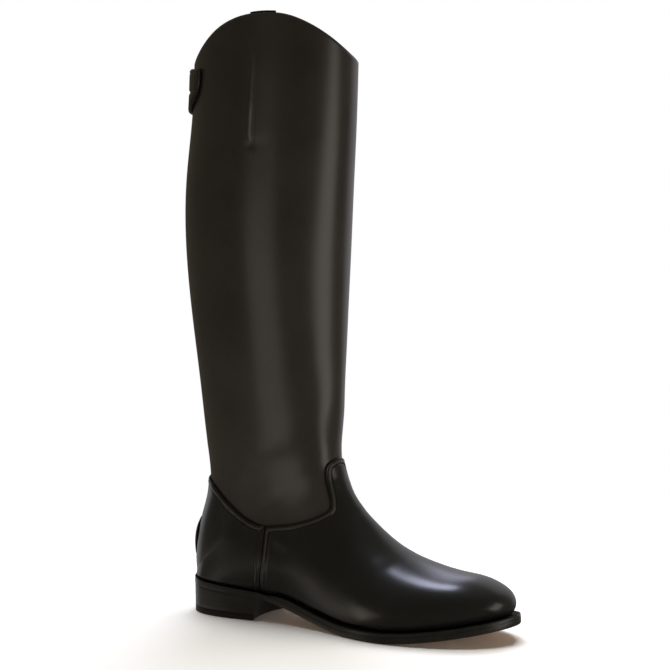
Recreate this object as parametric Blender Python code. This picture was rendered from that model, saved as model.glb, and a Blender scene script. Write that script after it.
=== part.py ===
"""A tall leather riding boot for the right foot, empty and standing on its sole.

+X is the toe, -Y the outer side and +Z up.
Sizes are in millimetres from the back of the heel on the floor.
Each mesh is moved to the middle of the boot and turned into metres once, in add_object.
"""

import math

import bmesh
import bpy
import numpy as np

MM = 0.001
GAP = 0.3
ORIGIN_X = 148.7

# Driving sizes of the sole
SOLE_LENGTH = 300.0
BALL_WIDTH = 106.0
HEEL_LENGTH = 78.0
HEEL_BACK = 24.7
HEEL_BREAST = 19.5
WAIST_SLOPE = -0.18
TREAD_START = 172.0
TREAD_END = 205.0
TOE_SPRING = 14.5
TOE_CURVE = 1.4
OUTSOLE_THICK = 5.0
EDGE_BEVEL = 1.0
WELT_THICK = 3.2
WELT_START = 80.0
WELT_SKIVE = 26.0
WELT_CUT = 8.0
WELT_SETBACK = 0.6
TOP_LIFT = 5.5
HEEL_TAPER = 0.4
BREAST_SLANT = 5.0
BREAST_HOLLOW = 6.0
INSOLE_RISE = 2.0
INSOLE_CLEAR = 1.6

# Driving sizes of the leather
WALL = 2.0
OVERLAY = 1.6
OVERLAY_GAP = 0.4
FEATHER_LIFT = 1.6
TUCK = 0.25
PAD_THICK = 3.2
PAD_GAP = 0.65
STRAP_THICK = 3.0
STRAP_GAP = 0.6
STRAP_STAND = 1.6

# Share of the length from the heel back, and share of the ball width to the inner side
OUTLINE = (
    ("heel back", 0.000, 0.000),
    ("heel outer corner", 0.042, -0.238),
    ("heel outer side", 0.130, -0.316),
    ("outer breast", 0.265, -0.308),
    ("outer waist", 0.390, -0.328),
    ("outer waist front", 0.520, -0.415),
    ("little toe joint", 0.640, -0.506),
    ("little toe", 0.760, -0.492),
    ("outer cap", 0.865, -0.408),
    ("outer tip", 0.957, -0.228),
    ("tip", 1.000, 0.038),
    ("inner tip", 0.962, 0.262),
    ("inner cap", 0.880, 0.398),
    ("big toe", 0.790, 0.462),
    ("big toe joint", 0.690, 0.492),
    ("inner waist front", 0.570, 0.430),
    ("inner waist", 0.430, 0.298),
    ("inner breast", 0.280, 0.276),
    ("heel inner side", 0.130, 0.316),
    ("heel inner corner", 0.042, 0.238),
)

# From the edge of the sole in to the lower edge of the upper
MARGINS = (
    ("heel", 0.0, 3.2),
    ("seat", 30.0, 3.4),
    ("breast", 80.0, 5.2),
    ("waist", 130.0, 6.0),
    ("joint", 200.0, 8.0),
    ("toe", 300.0, 9.0),
)

# Each section lies in a plane across the boot, from a point on its front line to one on its back line.
# Where the underside is open the back point is the middle of the lower edge, whose height the sole gives.
# Spread is how far the widest place stands out past the lower edge, or past the middle where there is none.
# Level is where along that line it is widest, fullness swells its shoulders, ridge shifts its crest.
SECTION_COLUMNS = "name front_x front_z back_x back_z spread level fullness ridge".split()
OPEN = None
SECTIONS = (
    ("toe tip", SOLE_LENGTH, 0.0, SOLE_LENGTH, OPEN, 0.0, 0.40, 0.02, 0.0),
    ("toe wall", 292.0, 29.5, 286.5, OPEN, 0.8, 0.40, 0.02, 0.0),
    ("toe bend", 288.5, 37.2, 278.0, OPEN, 1.4, 0.38, 0.03, 0.0),
    ("toe crown", 279.5, 43.2, 267.5, OPEN, 1.9, 0.35, 0.04, 0.5),
    ("toe top", 266.0, 47.8, 255.0, OPEN, 2.2, 0.33, 0.04, 1.5),
    ("cap", 243.0, 50.3, 237.0, OPEN, 2.4, 0.31, 0.04, 3.0),
    ("joint", 212.0, 56.5, 207.0, OPEN, 2.6, 0.30, 0.02, 4.5),
    ("vamp", 186.0, 68.0, 176.0, OPEN, 3.2, 0.32, 0.00, 5.0),
    ("waist", 166.0, 85.5, 140.0, OPEN, 5.0, 0.40, -0.02, 4.5),
    ("instep", 149.0, 104.0, 101.0, OPEN, 8.0, 0.44, -0.01, 3.5),
    ("throat", 140.4, 118.5, 60.0, OPEN, 6.5, 0.43, 0.03, 2.0),
    ("seat", 136.6, 129.0, 26.0, OPEN, 6.5, 0.41, 0.07, 1.0),
    ("heel rear", 135.2, 137.5, 0.0, OPEN, 34.5, 0.41, 0.09, 0.5),
    ("heel curve", 134.9, 144.5, 2.5, 41.0, 35.0, 0.41, 0.09, 0.0),
    ("counter", 135.0, 152.5, 3.8, 58.0, 36.0, 0.43, 0.08, 0.0),
    ("counter top", 136.0, 162.0, 9.5, 80.0, 38.0, 0.45, 0.06, 0.0),
    ("ankle", 137.3, 175.0, 16.6, 104.0, 41.5, 0.47, 0.03, 0.0),
    ("leg base", 138.3, 194.0, 14.8, 140.0, 45.0, 0.48, 0.00, 0.0),
    ("shin", 138.8, 223.0, 9.4, 190.0, 50.0, 0.49, 0.00, 0.0),
    ("low calf", 139.6, 260.0, 3.2, 245.0, 56.0, 0.50, 0.00, 0.0),
    ("calf", 141.0, 305.0, -1.5, 300.0, 61.5, 0.50, 0.00, 0.0),
    ("high calf", 143.7, 365.0, -1.5, 362.0, 63.0, 0.50, 0.00, 0.0),
    ("garter", 146.3, 415.0, 4.5, 408.0, 62.0, 0.50, 0.00, 0.0),
    ("collar", 148.0, 463.0, 7.0, 450.0, 61.5, 0.50, 0.00, 0.0),
)

# Height of the collar round the leg. 0 degrees is the front and minus 90 the outer side.
COLLAR = (
    ("back", -180.0, 461.0),
    ("back round", -165.0, 461.2),
    ("outer back", -150.0, 463.0),
    ("back slope", -130.0, 474.0),
    ("back shoulder", -108.0, 491.0),
    ("outer rise", -88.0, 501.0),
    ("peak", -68.0, 503.8),
    ("peak front", -56.0, 502.4),
    ("front shoulder", -45.0, 498.2),
    ("front slope", -20.0, 483.5),
    ("front", 0.0, 472.0),
    ("inner front", 30.0, 464.0),
    ("inner side", 90.0, 460.0),
    ("inner back", 140.0, 460.2),
    ("back round again", 165.0, 460.9),
    ("back again", 180.0, 461.0),
)
COLLAR_BLEND = 300.0

# Seam lines seen from the side
SIDE_SEAM = (
    ("under", 73.5, 5.0),
    ("welt", 77.8, 27.0),
    ("low", 81.6, 43.0),
    ("middle", 84.2, 57.7),
    ("high", 85.7, 70.3),
    ("corner", 86.9, 82.0),
)
VAMP_TOP = (
    ("corner", 86.9, 82.0),
    ("rise", 98.0, 83.5),
    ("wing", 110.0, 85.4),
    ("flare", 121.0, 88.5),
    ("wing end", 131.0, 92.0),
    ("notch", 136.6, 95.2),
    ("notch corner", 139.6, 98.4),
    ("tongue foot", 139.5, 101.8),
    ("tongue neck", 136.8, 110.0),
    ("tongue side", 134.3, 116.8),
    ("tongue waist", 132.7, 122.8),
    ("tongue corner", 132.1, 128.5),
    ("tongue round", 132.5, 132.6),
    ("tongue slope", 133.7, 135.8),
    ("tongue top", 136.6, 139.6),
)
COUNTER_TOP = (
    ("corner", 86.9, 82.0),
    ("dip", 77.7, 83.4),
    ("bend", 69.6, 86.6),
    ("slope", 62.0, 91.6),
    ("climb", 54.3, 97.8),
    ("shoulder", 45.0, 105.5),
    ("round", 37.0, 110.8),
    ("back round", 27.0, 115.0),
    ("back", 14.0, 117.8),
)
BEYOND = 60.0

# Trim
TAB_TOP = 460.0
TAB_BOTTOM = 421.5
TAB_REACH = 0.155
TAB_BLUNT = 0.045
TAB_STRAIGHT = 0.2
TAB_ROUND = 2.2
REST_TOP = 78.0
REST_BOTTOM = 46.0
REST_REACH = 0.085
REST_BLUNT = 0.45
REST_RIM = 0.1
REST_LEAN = 0.75
REST_THICK = 3.0
STRAP_FRONT = -63.0
STRAP_BACK = -81.0
STRAP_BOTTOM = 399.0

# How finely the meshes are divided
OUTLINE_POINTS = 720
TOE_ROUND = 30.0
HEEL_ROUND = 28.0
ROUND_ANGLES = (18, 36, 54, 72, 90)
FOOT_ROWS = 13
LEG_HEIGHTS = (37, 46, 57, 69, 82, 96, 112, 135, 166, 205, 250, 300, 340, 375, 402, 420, 436)
FRONT_COLUMNS = 17
BACK_COLUMNS = 7
PANEL_LIMIT = 140.0
SEAM_POINTS = 9
TOP_POINTS = 34
PAD_ROWS = 9
PAD_COLUMNS = 13
STRAP_COLUMNS = 4
OUTSOLE_ROWS = 41
INSOLE_ROWS = 33
WELT_ROWS = 64
HEEL_ROWS = 15
BREAST_ROWS = 9
TIP_CLEAR = 0.8
STATION_STEP = 0.05
TURN_STEP = 1e-4
TINY = 1e-9
WELD = 0.001


def spline(knots, rows, at):
    """Natural cubic spline through the rows, which are given at the knots."""
    knots = np.asarray(knots, float)
    rows = np.asarray(rows, float)
    count = len(knots)
    step = np.diff(knots)
    matrix = np.eye(count)
    bend = np.zeros_like(rows)
    slope = np.diff(rows, axis=0) / step.reshape((-1,) + (1,) * (rows.ndim - 1))
    for i in range(1, count - 1):
        matrix[i, i - 1 : i + 2] = step[i - 1], 2 * (step[i - 1] + step[i]), step[i]
        bend[i] = 6 * (slope[i] - slope[i - 1])
    second = np.linalg.solve(matrix, bend)
    at = np.asarray(at, float)
    i = np.clip(np.searchsorted(knots, at, side="right") - 1, 0, count - 2)
    shape = at.shape + (1,) * (rows.ndim - 1)
    width = step[i].reshape(shape)
    right = (at - knots[i]).reshape(shape)
    left = width - right
    ends = second[i] * left**3 / (6 * width) + second[i + 1] * right**3 / (6 * width)
    low = (rows[i] / width - second[i] * width / 6) * left
    high = (rows[i + 1] / width - second[i + 1] * width / 6) * right
    return ends + low + high


def lengths(points):
    """Distance along a chain of points, from its start."""
    points = np.asarray(points, float)
    return np.concatenate([[0.0], np.cumsum(np.linalg.norm(np.diff(points, axis=0), axis=1))])


def smooth_chain(points, count):
    """Evenly spaced points on a spline through a few points."""
    knots = lengths(points)
    return spline(knots, points, np.linspace(0.0, knots[-1], count))


def ease(share):
    """Smooth step from 0 to 1."""
    share = np.clip(share, 0.0, 1.0)
    return share * share * (3 - 2 * share)


def dome(share, rim):
    """A bump over shares from 0 to 1, cut off at both ends before it comes down to nothing."""
    return np.sin(math.pi * (rim + (1 - 2 * rim) * share))


def tread_height(x):
    """Underside of the outsole: straight over the heel, arched at the waist, flat, then up to the toe."""
    x = np.asarray(x, float)
    seat = HEEL_BACK + (HEEL_BREAST - HEEL_BACK) * x / HEEL_LENGTH
    span = TREAD_START - HEEL_LENGTH
    t = np.clip((x - HEEL_LENGTH) / span, 0.0, 1.0)
    arch = HEEL_BREAST * (1 - 3 * t**2 + 2 * t**3) + WAIST_SLOPE * span * t * (1 - t) ** 2
    toe = TOE_SPRING * np.clip((x - TREAD_END) / (SOLE_LENGTH - TREAD_END), 0.0, None) ** TOE_CURVE
    return np.where(x < HEEL_LENGTH, seat, arch + toe)


def welt_height(x):
    """Thickness of the welt, skived thin towards the heel."""
    return WELT_THICK * ease((np.asarray(x, float) - WELT_START) / WELT_SKIVE)


def feather_height(x):
    """Height of the lower edge of the upper."""
    return tread_height(x) + OUTSOLE_THICK + welt_height(x) + 2 * GAP + FEATHER_LIFT


def sole_curve(count):
    """The outline of the sole as a closed chain: heel back, outer side, toe, inner side."""
    corners = np.array([row[1:] for row in OUTLINE]) * (SOLE_LENGTH, BALL_WIDTH)
    turns = np.vstack([corners, corners, corners, corners[:1]])
    knots = lengths(turns)
    first = knots[len(corners)]
    last = knots[2 * len(corners)]
    return spline(knots, turns, np.linspace(first, last, count, endpoint=False))


def inset(chain, distance):
    """A closed chain moved in by a distance, one for all points or one each."""
    ahead = np.roll(chain, -1, axis=0) - np.roll(chain, 1, axis=0)
    inward = np.column_stack([-ahead[:, 1], ahead[:, 0]])
    inward /= np.linalg.norm(inward, axis=1, keepdims=True)
    return chain + inward * np.broadcast_to(distance, len(chain))[:, None]


SOLE = sole_curve(OUTLINE_POINTS)
MARGIN = np.interp(SOLE[:, 0], [row[1] for row in MARGINS], [row[2] for row in MARGINS])
FEATHER = inset(SOLE, MARGIN)


def sides(chain):
    """The outer and inner side of a closed chain, each running from the heel to the toe."""
    back = int(np.argmin(chain[:, 0]))
    turned = np.roll(chain, -back, axis=0)
    tip = int(np.argmax(turned[:, 0]))
    outer = turned[: tip + 1]
    inner = np.vstack([turned[tip:], turned[:1]])[::-1]
    return outer, inner


def across(chain, x):
    """The outer and inner y of a closed chain at x."""
    outer, inner = sides(chain)
    return np.interp(x, outer[:, 0], outer[:, 1]), np.interp(x, inner[:, 0], inner[:, 1])


def feather_edge(x):
    """Half width and middle of the lower edge of the upper."""
    outer, inner = across(FEATHER, x)
    return (inner - outer) / 2, (inner + outer) / 2


FEATHER_BACK = FEATHER[:, 0].min()
FEATHER_TIP = FEATHER[:, 0].max()
VALUE_COLUMNS = "front_x front_z setback back_z half level fullness ridge".split()


def section_table():
    """Knots and values of the sections; the back point is kept as the root of its distance from the toe."""
    values = []
    for row in SECTIONS:
        section = dict(zip(SECTION_COLUMNS, row))
        edge = 0.0
        if section["back_z"] is OPEN:
            section["back_x"] = np.clip(section["back_x"], FEATHER_BACK, FEATHER_TIP)
            section["back_z"] = feather_height(section["back_x"])
            edge = feather_edge(section["back_x"])[0]
        section["half"] = edge + section["spread"]
        section["setback"] = math.sqrt(FEATHER_TIP - section["back_x"])
        values.append([section[key] for key in VALUE_COLUMNS])
    values[0][0] = FEATHER_TIP
    values[0][1] = float(feather_height(FEATHER_TIP))
    values = np.array(values, float)
    return lengths(values[:, :2]), values


KNOTS, VALUES = section_table()
NAMES = [row[0] for row in SECTIONS]
REAR_ROW = NAMES.index("heel rear")
REAR = KNOTS[REAR_ROW]
END = KNOTS[-1]


def section_at(station):
    """Values of the section at a station; its widest place runs smoothly, its back line turns a corner."""
    station = np.asarray(station, float)
    values = dict(zip(VALUE_COLUMNS, np.moveaxis(spline(KNOTS, VALUES, station), -1, 0)))
    smooth_x = FEATHER_TIP - values["setback"] ** 2
    values["wide_x"] = smooth_x + values["level"] * (values["front_x"] - smooth_x)
    values["wide_z"] = values["back_z"] + values["level"] * (values["front_z"] - values["back_z"])
    for key in ("setback", "back_z"):
        column = VALUES[:, VALUE_COLUMNS.index(key)]
        under = spline(KNOTS[: REAR_ROW + 1], column[: REAR_ROW + 1], station)
        behind = spline(KNOTS[REAR_ROW:], column[REAR_ROW:], station)
        values[key] = np.where(station < REAR, under, behind)
    return values


def collar_height(angle):
    """Height of the collar at an angle round the leg, in degrees."""
    return spline([row[1] for row in COLLAR], [row[2] for row in COLLAR], angle)


def plain_point(station, turn):
    """A point of the upper's outer face before the collar is cut; turn is -1 to 1, 0 at the front."""
    values = section_at(station)
    is_open = station < REAR
    back_x = FEATHER_TIP - values["setback"] ** 2
    back_z = np.where(is_open, feather_height(back_x), values["back_z"])
    edge, middle = feather_edge(back_x)
    edge = np.where(is_open, edge, 0.0)
    middle = np.where(is_open, middle, 0.0)
    swell = np.sqrt(np.maximum(values["half"] ** 2 - edge**2, (TUCK * edge) ** 2))
    half = np.hypot(edge, swell)
    side = np.sign(turn)
    angle = np.abs(turn) * math.pi
    at_front = angle <= math.pi / 2
    shoulder = 1 + values["fullness"] * np.sin(2 * angle) ** 2
    front_share = np.cos(angle) * shoulder
    front_out = np.sin(angle) * shoulder * half
    lean = np.arctan2(swell, edge + TINY)
    part = lean * (angle * 2 / math.pi - 1)
    back_share = np.sin(part) / np.maximum(np.sin(lean), TINY)
    back_out = half * np.cos(part)
    share = np.where(at_front, front_share, back_share)
    out = np.where(at_front, front_out, back_out)
    crest = np.where(at_front, np.cos(angle) ** 2, 0.0)
    end_x = np.where(at_front, values["front_x"], back_x)
    end_z = np.where(at_front, values["front_z"], back_z)
    x = values["wide_x"] + (end_x - values["wide_x"]) * share
    y = middle + side * out + values["ridge"] * crest
    z = values["wide_z"] + (end_z - values["wide_z"]) * share
    return np.stack([x, y, z], axis=-1)


def form(station, turn):
    """A point of the upper's outer face; the leg stretches up to the line of the collar."""
    station, turn = np.broadcast_arrays(np.asarray(station, float), np.asarray(turn, float))
    turn = np.where(turn > 1, turn - 2, np.where(turn < -1, turn + 2, turn))
    point = plain_point(station, turn)
    start = np.interp(COLLAR_BLEND, VALUES[:, 1], KNOTS)
    blend = ease((station - start) / (END - start))
    top = plain_point(np.full_like(station, END), turn)[..., 2]
    point[..., 2] += blend * (collar_height(turn * 180) - top)
    return point


def raised(station, turn, height):
    """The form moved out along its own normal."""
    station, turn = np.broadcast_arrays(np.asarray(station, float), np.asarray(turn, float))
    near = np.maximum(station, TIP_CLEAR)
    low = np.where((near < REAR) & (turn <= -1 + TURN_STEP), -1.0, turn - TURN_STEP)
    high = np.where((near < REAR) & (turn >= 1 - TURN_STEP), 1.0, turn + TURN_STEP)
    along = form(near + STATION_STEP, turn) - form(near - STATION_STEP, turn)
    round_about = form(near, high) - form(near, low)
    normal = np.cross(round_about, along)
    normal /= np.linalg.norm(normal, axis=-1, keepdims=True)
    return form(station, turn) + normal * np.asarray(height)[..., None]


def station_at(column, value, start, end):
    """The station between two others where a column of the sections reaches a value."""
    fine = np.linspace(start, end, 600)
    track = section_at(fine)[column]
    order = np.argsort(track)
    return float(np.interp(value, track[order], fine[order]))


def leg_station(height, turn):
    """The station where the leg reaches a height, for each of a grid of turns."""
    fine = np.linspace(REAR, END, 300)
    tracks = form(fine[:, None], turn.ravel()[None, :])[..., 2].T
    stations = [np.interp(z, track, fine) for z, track in zip(height.ravel(), tracks)]
    return np.array(stations).reshape(turn.shape)


def form_stations():
    """Stations of the mesh: close at the round ends of the lower edge, wide up the leg."""
    curve = 1 - np.cos(np.radians(ROUND_ANGLES))
    toe = FEATHER_TIP - TOE_ROUND * curve
    heel = FEATHER_BACK + HEEL_ROUND * curve[::-1]
    middle = np.linspace(toe[-1], heel[0], FOOT_ROWS)[1:-1]
    stations = [0.0]
    for x in np.concatenate([toe, middle, heel]):
        stations.append(station_at("setback", math.sqrt(FEATHER_TIP - x), 0.0, REAR))
    stations.append(REAR)
    for z in LEG_HEIGHTS:
        stations.append(station_at("back_z", z, REAR, END))
    stations.append(END)
    return np.array(stations)


STATIONS = form_stations()
BACK_TURNS = np.linspace(0.5, 1.0, BACK_COLUMNS)[1:]
TURNS = np.concatenate([-BACK_TURNS[::-1], np.linspace(-0.5, 0.5, FRONT_COLUMNS), BACK_TURNS])


def grid(bm, points):
    """A grid of faces whose corners are the given points; they look out where the columns run round."""
    rows, columns = points.shape[:2]
    made = bmesh.ops.create_grid(bm, x_segments=columns - 1, y_segments=rows - 1, size=1.0)
    for vert in made["verts"]:
        column = round((vert.co.x + 1) / 2 * (columns - 1))
        row = round((vert.co.y + 1) / 2 * (rows - 1))
        vert.co = points[row, column]


def leather(name, colour, roughness):
    """A plain material."""
    material = bpy.data.materials.new(name)
    material.use_nodes = True
    shader = material.node_tree.nodes["Principled BSDF"]
    shader.inputs["Base Color"].default_value = (*colour, 1.0)
    shader.inputs["Roughness"].default_value = roughness
    shader.inputs["Metallic"].default_value = 0.0
    return material


def add_object(name, bm, material, smooth=True):
    """Turn a mesh in millimetres into a finished object."""
    for vert in bm.verts:
        vert.co.x -= ORIGIN_X
        vert.co *= MM
    mesh = bpy.data.meshes.new(name)
    bm.to_mesh(mesh)
    bm.free()
    for polygon in mesh.polygons:
        polygon.use_smooth = smooth
    thing = bpy.data.objects.new(name, mesh)
    if material:
        mesh.materials.append(material)
    bpy.context.collection.objects.link(thing)
    return thing


def solidify(thing, thickness, side):
    """Give a surface its thickness, outwards for side 1 and inwards for side -1."""
    modifier = thing.modifiers.new("Thickness", "SOLIDIFY")
    modifier.thickness = thickness * MM
    modifier.offset = side
    modifier.use_even_offset = True


def surface(points):
    """A mesh of one skin, closed where its columns or its ends meet."""
    bm = bmesh.new()
    grid(bm, points)
    bmesh.ops.remove_doubles(bm, verts=bm.verts, dist=WELD)
    return bm


def between(inner, outer):
    """A closed mesh between two skins of the same grid."""
    bm = bmesh.new()
    grid(bm, inner)
    bmesh.ops.reverse_faces(bm, faces=bm.faces[:])
    grid(bm, outer)
    bmesh.ops.bridge_loops(bm, edges=[edge for edge in bm.edges if edge.is_boundary])
    bmesh.ops.recalc_face_normals(bm, faces=bm.faces)
    return bm


def prism(name, corners):
    """A cutter with a side view and the whole width of the boot."""
    bm = bmesh.new()
    verts = [bm.verts.new((x, -SOLE_LENGTH / 2, z)) for x, z in corners]
    face = bm.faces.new(verts)
    pushed = bmesh.ops.extrude_face_region(bm, geom=[face])
    moved = [item for item in pushed["geom"] if isinstance(item, bmesh.types.BMVert)]
    bmesh.ops.translate(bm, verts=moved, vec=(0.0, SOLE_LENGTH, 0.0))
    bmesh.ops.recalc_face_normals(bm, faces=bm.faces)
    cutter = add_object(name, bm, None, smooth=False)
    cutter.hide_render = True
    cutter.display_type = "WIRE"
    return cutter


def keep_inside(thing, cutter):
    """Cut a solid down to what a cutter holds."""
    modifier = thing.modifiers.new("Cut", "BOOLEAN")
    modifier.operation = "INTERSECT"
    modifier.solver = "EXACT"
    modifier.object = cutter


def build_upper(material):
    """The hollow wall of leg and foot."""
    points = form(STATIONS[:, None], TURNS[None, :])
    thing = add_object("upper", surface(points), material)
    solidify(thing, WALL, -1)


def overlay(name, material, cutter):
    """A panel of the foot: a shell over the upper's own form, cut to its side view."""
    limit = station_at("back_z", PANEL_LIMIT, REAR, END)
    stations = STATIONS[STATIONS < limit]
    points = raised(stations[:, None], TURNS[None, :], np.array(OVERLAY_GAP))
    thing = add_object(name, surface(points), material)
    solidify(thing, OVERLAY, 1)
    keep_inside(thing, cutter)


def side_line(rows, count):
    """Points of a seam line seen from the side."""
    return smooth_chain([row[1:] for row in rows], count)


def build_vamp(material):
    """The front panel with its tongue."""
    seam = side_line(SIDE_SEAM, SEAM_POINTS) + (GAP / 2, 0.0)
    top = side_line(VAMP_TOP, TOP_POINTS)[1:]
    far = SOLE_LENGTH + BEYOND
    corners = list(map(tuple, seam)) + list(map(tuple, top))
    corners += [(top[-1][0] + BEYOND, top[-1][1] + BEYOND / 4), (far, top[-1][1]), (far, seam[0][1])]
    overlay("vamp", material, prism("vamp cutter", corners))


def build_counter(material):
    """The heel panel."""
    seam = side_line(SIDE_SEAM, SEAM_POINTS) - (GAP / 2, 0.0)
    top = side_line(COUNTER_TOP, TOP_POINTS)[1:]
    corners = list(map(tuple, seam)) + list(map(tuple, top))
    corners += [(-BEYOND, top[-1][1]), (-BEYOND, seam[0][1])]
    overlay("counter", material, prism("counter cutter", corners))


def patch(name, material, stations, turns, low, high):
    """A piece on the form between two heights above it."""
    bm = between(raised(stations, turns, low), raised(stations, turns, high))
    return add_object(name, bm, material)


def build_back_tab(material):
    """The half-moon pad at the top of the back seam."""
    drop = np.linspace(0.0, 1.0, PAD_ROWS)
    wide = np.linspace(-1.0, 1.0, PAD_COLUMNS)
    below = np.maximum(drop - TAB_STRAIGHT, 0.0) / (1 - TAB_STRAIGHT)
    reach = np.maximum(TAB_REACH * np.sqrt(1 - below**TAB_ROUND), TAB_BLUNT)
    turns = 1 + 2 * reach[:, None] * wide
    stations = leg_station(TAB_TOP + (TAB_BOTTOM - TAB_TOP) * drop[:, None] + 0 * wide, turns)
    flat = np.full(stations.shape, PAD_GAP)
    patch("back_tab", material, stations[::-1], turns[::-1], flat, flat + PAD_THICK)


def build_spur_rest(material):
    """The raised patch on the back of the counter, thickest near its top."""
    drop = np.linspace(0.0, 1.0, PAD_ROWS)
    wide = np.linspace(-1.0, 1.0, PAD_COLUMNS)
    start = station_at("back_z", REST_TOP, REAR, END)
    stop = station_at("back_z", REST_BOTTOM, REAR, END)
    stations = (start + (stop - start) * drop)[:, None] + 0 * wide
    reach = REST_REACH * (REST_BLUNT + (1 - REST_BLUNT) * dome(drop, REST_RIM))
    turns = 1 + 2 * reach[:, None] * wide
    low = np.full(stations.shape, OVERLAY_GAP + OVERLAY + GAP)
    rise = dome(drop**REST_LEAN, REST_RIM)[:, None] * dome((wide + 1) / 2, REST_RIM)
    patch("spur_rest", material, stations[::-1], turns[::-1], low[::-1], (low + REST_THICK * rise)[::-1])


def build_pull_strap(material):
    """The folded loop inside the collar, standing a little above its edge."""
    turns = np.linspace(STRAP_BACK, STRAP_FRONT, STRAP_COLUMNS) / 180
    start = leg_station(np.full(STRAP_COLUMNS, STRAP_BOTTOM), turns)
    rise = np.linspace(0.0, 1.0, PAD_ROWS)[:, None]
    stations = np.vstack([start + (END - start) * rise, np.full(STRAP_COLUMNS, END + STRAP_STAND)])
    turns = np.broadcast_to(turns, stations.shape)
    outer = np.full(stations.shape, -WALL - STRAP_GAP)
    patch("pull_strap", material, stations, turns, outer - STRAP_THICK, outer)


def span(chain, shares):
    """Points of a closed chain at shares of its length: x, outer y and inner y."""
    x = chain[:, 0].min() + shares * np.ptp(chain[:, 0])
    outer, inner = across(chain, x)
    ends = (shares <= 0) | (shares >= 1)
    middle = (outer + inner) / 2
    return x, np.where(ends, middle, outer), np.where(ends, middle, inner)


def plank(rings, shares):
    """A closed mesh through rings of the sole; each ring is a chain and a height function."""
    columns = []
    for chain, height in rings:
        x, outer, _ = span(chain, shares)
        columns.append(np.column_stack([x, outer, height(x)]))
    for chain, height in rings[::-1]:
        x, _, inner = span(chain, shares)
        columns.append(np.column_stack([x, inner, height(x)]))
    columns.append(columns[0])
    bm = bmesh.new()
    grid(bm, np.stack(columns, axis=1))
    bmesh.ops.remove_doubles(bm, verts=bm.verts, dist=WELD)
    bmesh.ops.recalc_face_normals(bm, faces=bm.faces)
    return bm


def round_shares(count):
    """Shares of a length, close together at both ends."""
    return (1 - np.cos(np.linspace(0.0, math.pi, count))) / 2


def build_outsole(material):
    """The leather layer from toe to heel, its lower edge bevelled."""
    rings = [
        (inset(SOLE, EDGE_BEVEL), tread_height),
        (SOLE, lambda x: tread_height(x) + EDGE_BEVEL),
        (SOLE, lambda x: tread_height(x) + OUTSOLE_THICK),
    ]
    add_object("outsole", plank(rings, round_shares(OUTSOLE_ROWS)), material, smooth=False)


def build_insole(material):
    """The board inside the upper's lower edge."""
    board = inset(SOLE, MARGIN + WALL + INSOLE_CLEAR)
    rings = [
        (board, lambda x: tread_height(x) + OUTSOLE_THICK + GAP),
        (board, lambda x: feather_height(x) + INSOLE_RISE),
    ]
    add_object("insole", plank(rings, round_shares(INSOLE_ROWS)), material, smooth=False)


def front_run(chain):
    """The part of a closed chain in front of the heel, from the outer side round to the inner."""
    outer, inner = sides(chain)
    run = np.vstack([outer, inner[::-1][1:]])
    run = run[run[:, 0] > WELT_START + WELT_CUT]
    shares = np.linspace(0.0, 1.0, WELT_ROWS)
    return np.column_stack([np.interp(shares, np.linspace(0, 1, len(run)), run[:, i]) for i in (0, 1)])


def build_welt(material):
    """The strip on the edge of the outsole, from breast to breast round the toe."""
    edge = front_run(inset(SOLE, WELT_SETBACK))
    under = front_run(inset(SOLE, MARGIN + WALL))
    columns = []
    for chain, lift in ((edge, 0), (edge, 1), (under, 1), (under, 0), (edge, 0)):
        base = tread_height(chain[:, 0]) + OUTSOLE_THICK + GAP
        thick = np.maximum(welt_height(chain[:, 0]), GAP)
        columns.append(np.column_stack([chain, base + lift * thick]))
    bm = bmesh.new()
    grid(bm, np.stack(columns, axis=1))
    bmesh.ops.remove_doubles(bm, verts=bm.verts, dist=WELD)
    bmesh.ops.holes_fill(bm, edges=[edge for edge in bm.edges if edge.is_boundary])
    bmesh.ops.recalc_face_normals(bm, faces=bm.faces)
    add_object("welt", bm, material, smooth=False)


def heel_loop(drop):
    """Outline of the heel at a share of the way down, with its hollow breast."""
    chain = inset(SOLE, WELT_SETBACK + HEEL_TAPER * drop)
    outer_side, inner_side = sides(chain)
    front = HEEL_LENGTH - BREAST_SLANT * drop
    shares = np.sin(np.linspace(0.0, math.pi / 2, HEEL_ROWS)) ** 2
    x = chain[:, 0].min() + shares * (front - chain[:, 0].min())
    outer = np.column_stack([x, np.interp(x, outer_side[:, 0], outer_side[:, 1])])
    inner = np.column_stack([x, np.interp(x, inner_side[:, 0], inner_side[:, 1])])
    inner[0] = outer[0]
    breast_y = np.linspace(inner[-1, 1], outer[-1, 1], BREAST_ROWS)[1:-1]
    middle = (inner[-1, 1] + outer[-1, 1]) / 2
    half = (inner[-1, 1] - outer[-1, 1]) / 2
    breast_x = front - BREAST_HOLLOW * (1 - ((breast_y - middle) / half) ** 2)
    breast = np.column_stack([breast_x, breast_y])
    return np.vstack([outer[::-1], inner[1:], breast])


def stack_up(name, material, levels):
    """A closed mesh through loops of the heel, each with its height function."""
    loops = []
    for drop, height in levels:
        loop = heel_loop(drop)
        points = np.column_stack([loop, height(loop[:, 0])])
        loops.append(np.vstack([points, points[:1]]))
    bm = bmesh.new()
    grid(bm, np.stack(loops, axis=0))
    bmesh.ops.remove_doubles(bm, verts=bm.verts, dist=WELD)
    bmesh.ops.holes_fill(bm, edges=[edge for edge in bm.edges if edge.is_boundary])
    bmesh.ops.recalc_face_normals(bm, faces=bm.faces)
    add_object(name, bm, material, smooth=False)


def build_heel(stack_material, lift_material):
    """The heel stack and its top lift."""
    lift_drop = 1 - TOP_LIFT / HEEL_BACK
    stack = [
        (0.0, lambda x: tread_height(x) - GAP),
        (lift_drop, lambda x: np.full_like(x, TOP_LIFT + GAP)),
    ]
    stack_up("heel_stack", stack_material, stack)
    lift = [(lift_drop, lambda x: np.full_like(x, TOP_LIFT)), (1.0, np.zeros_like)]
    stack_up("top_lift", lift_material, lift)


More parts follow.
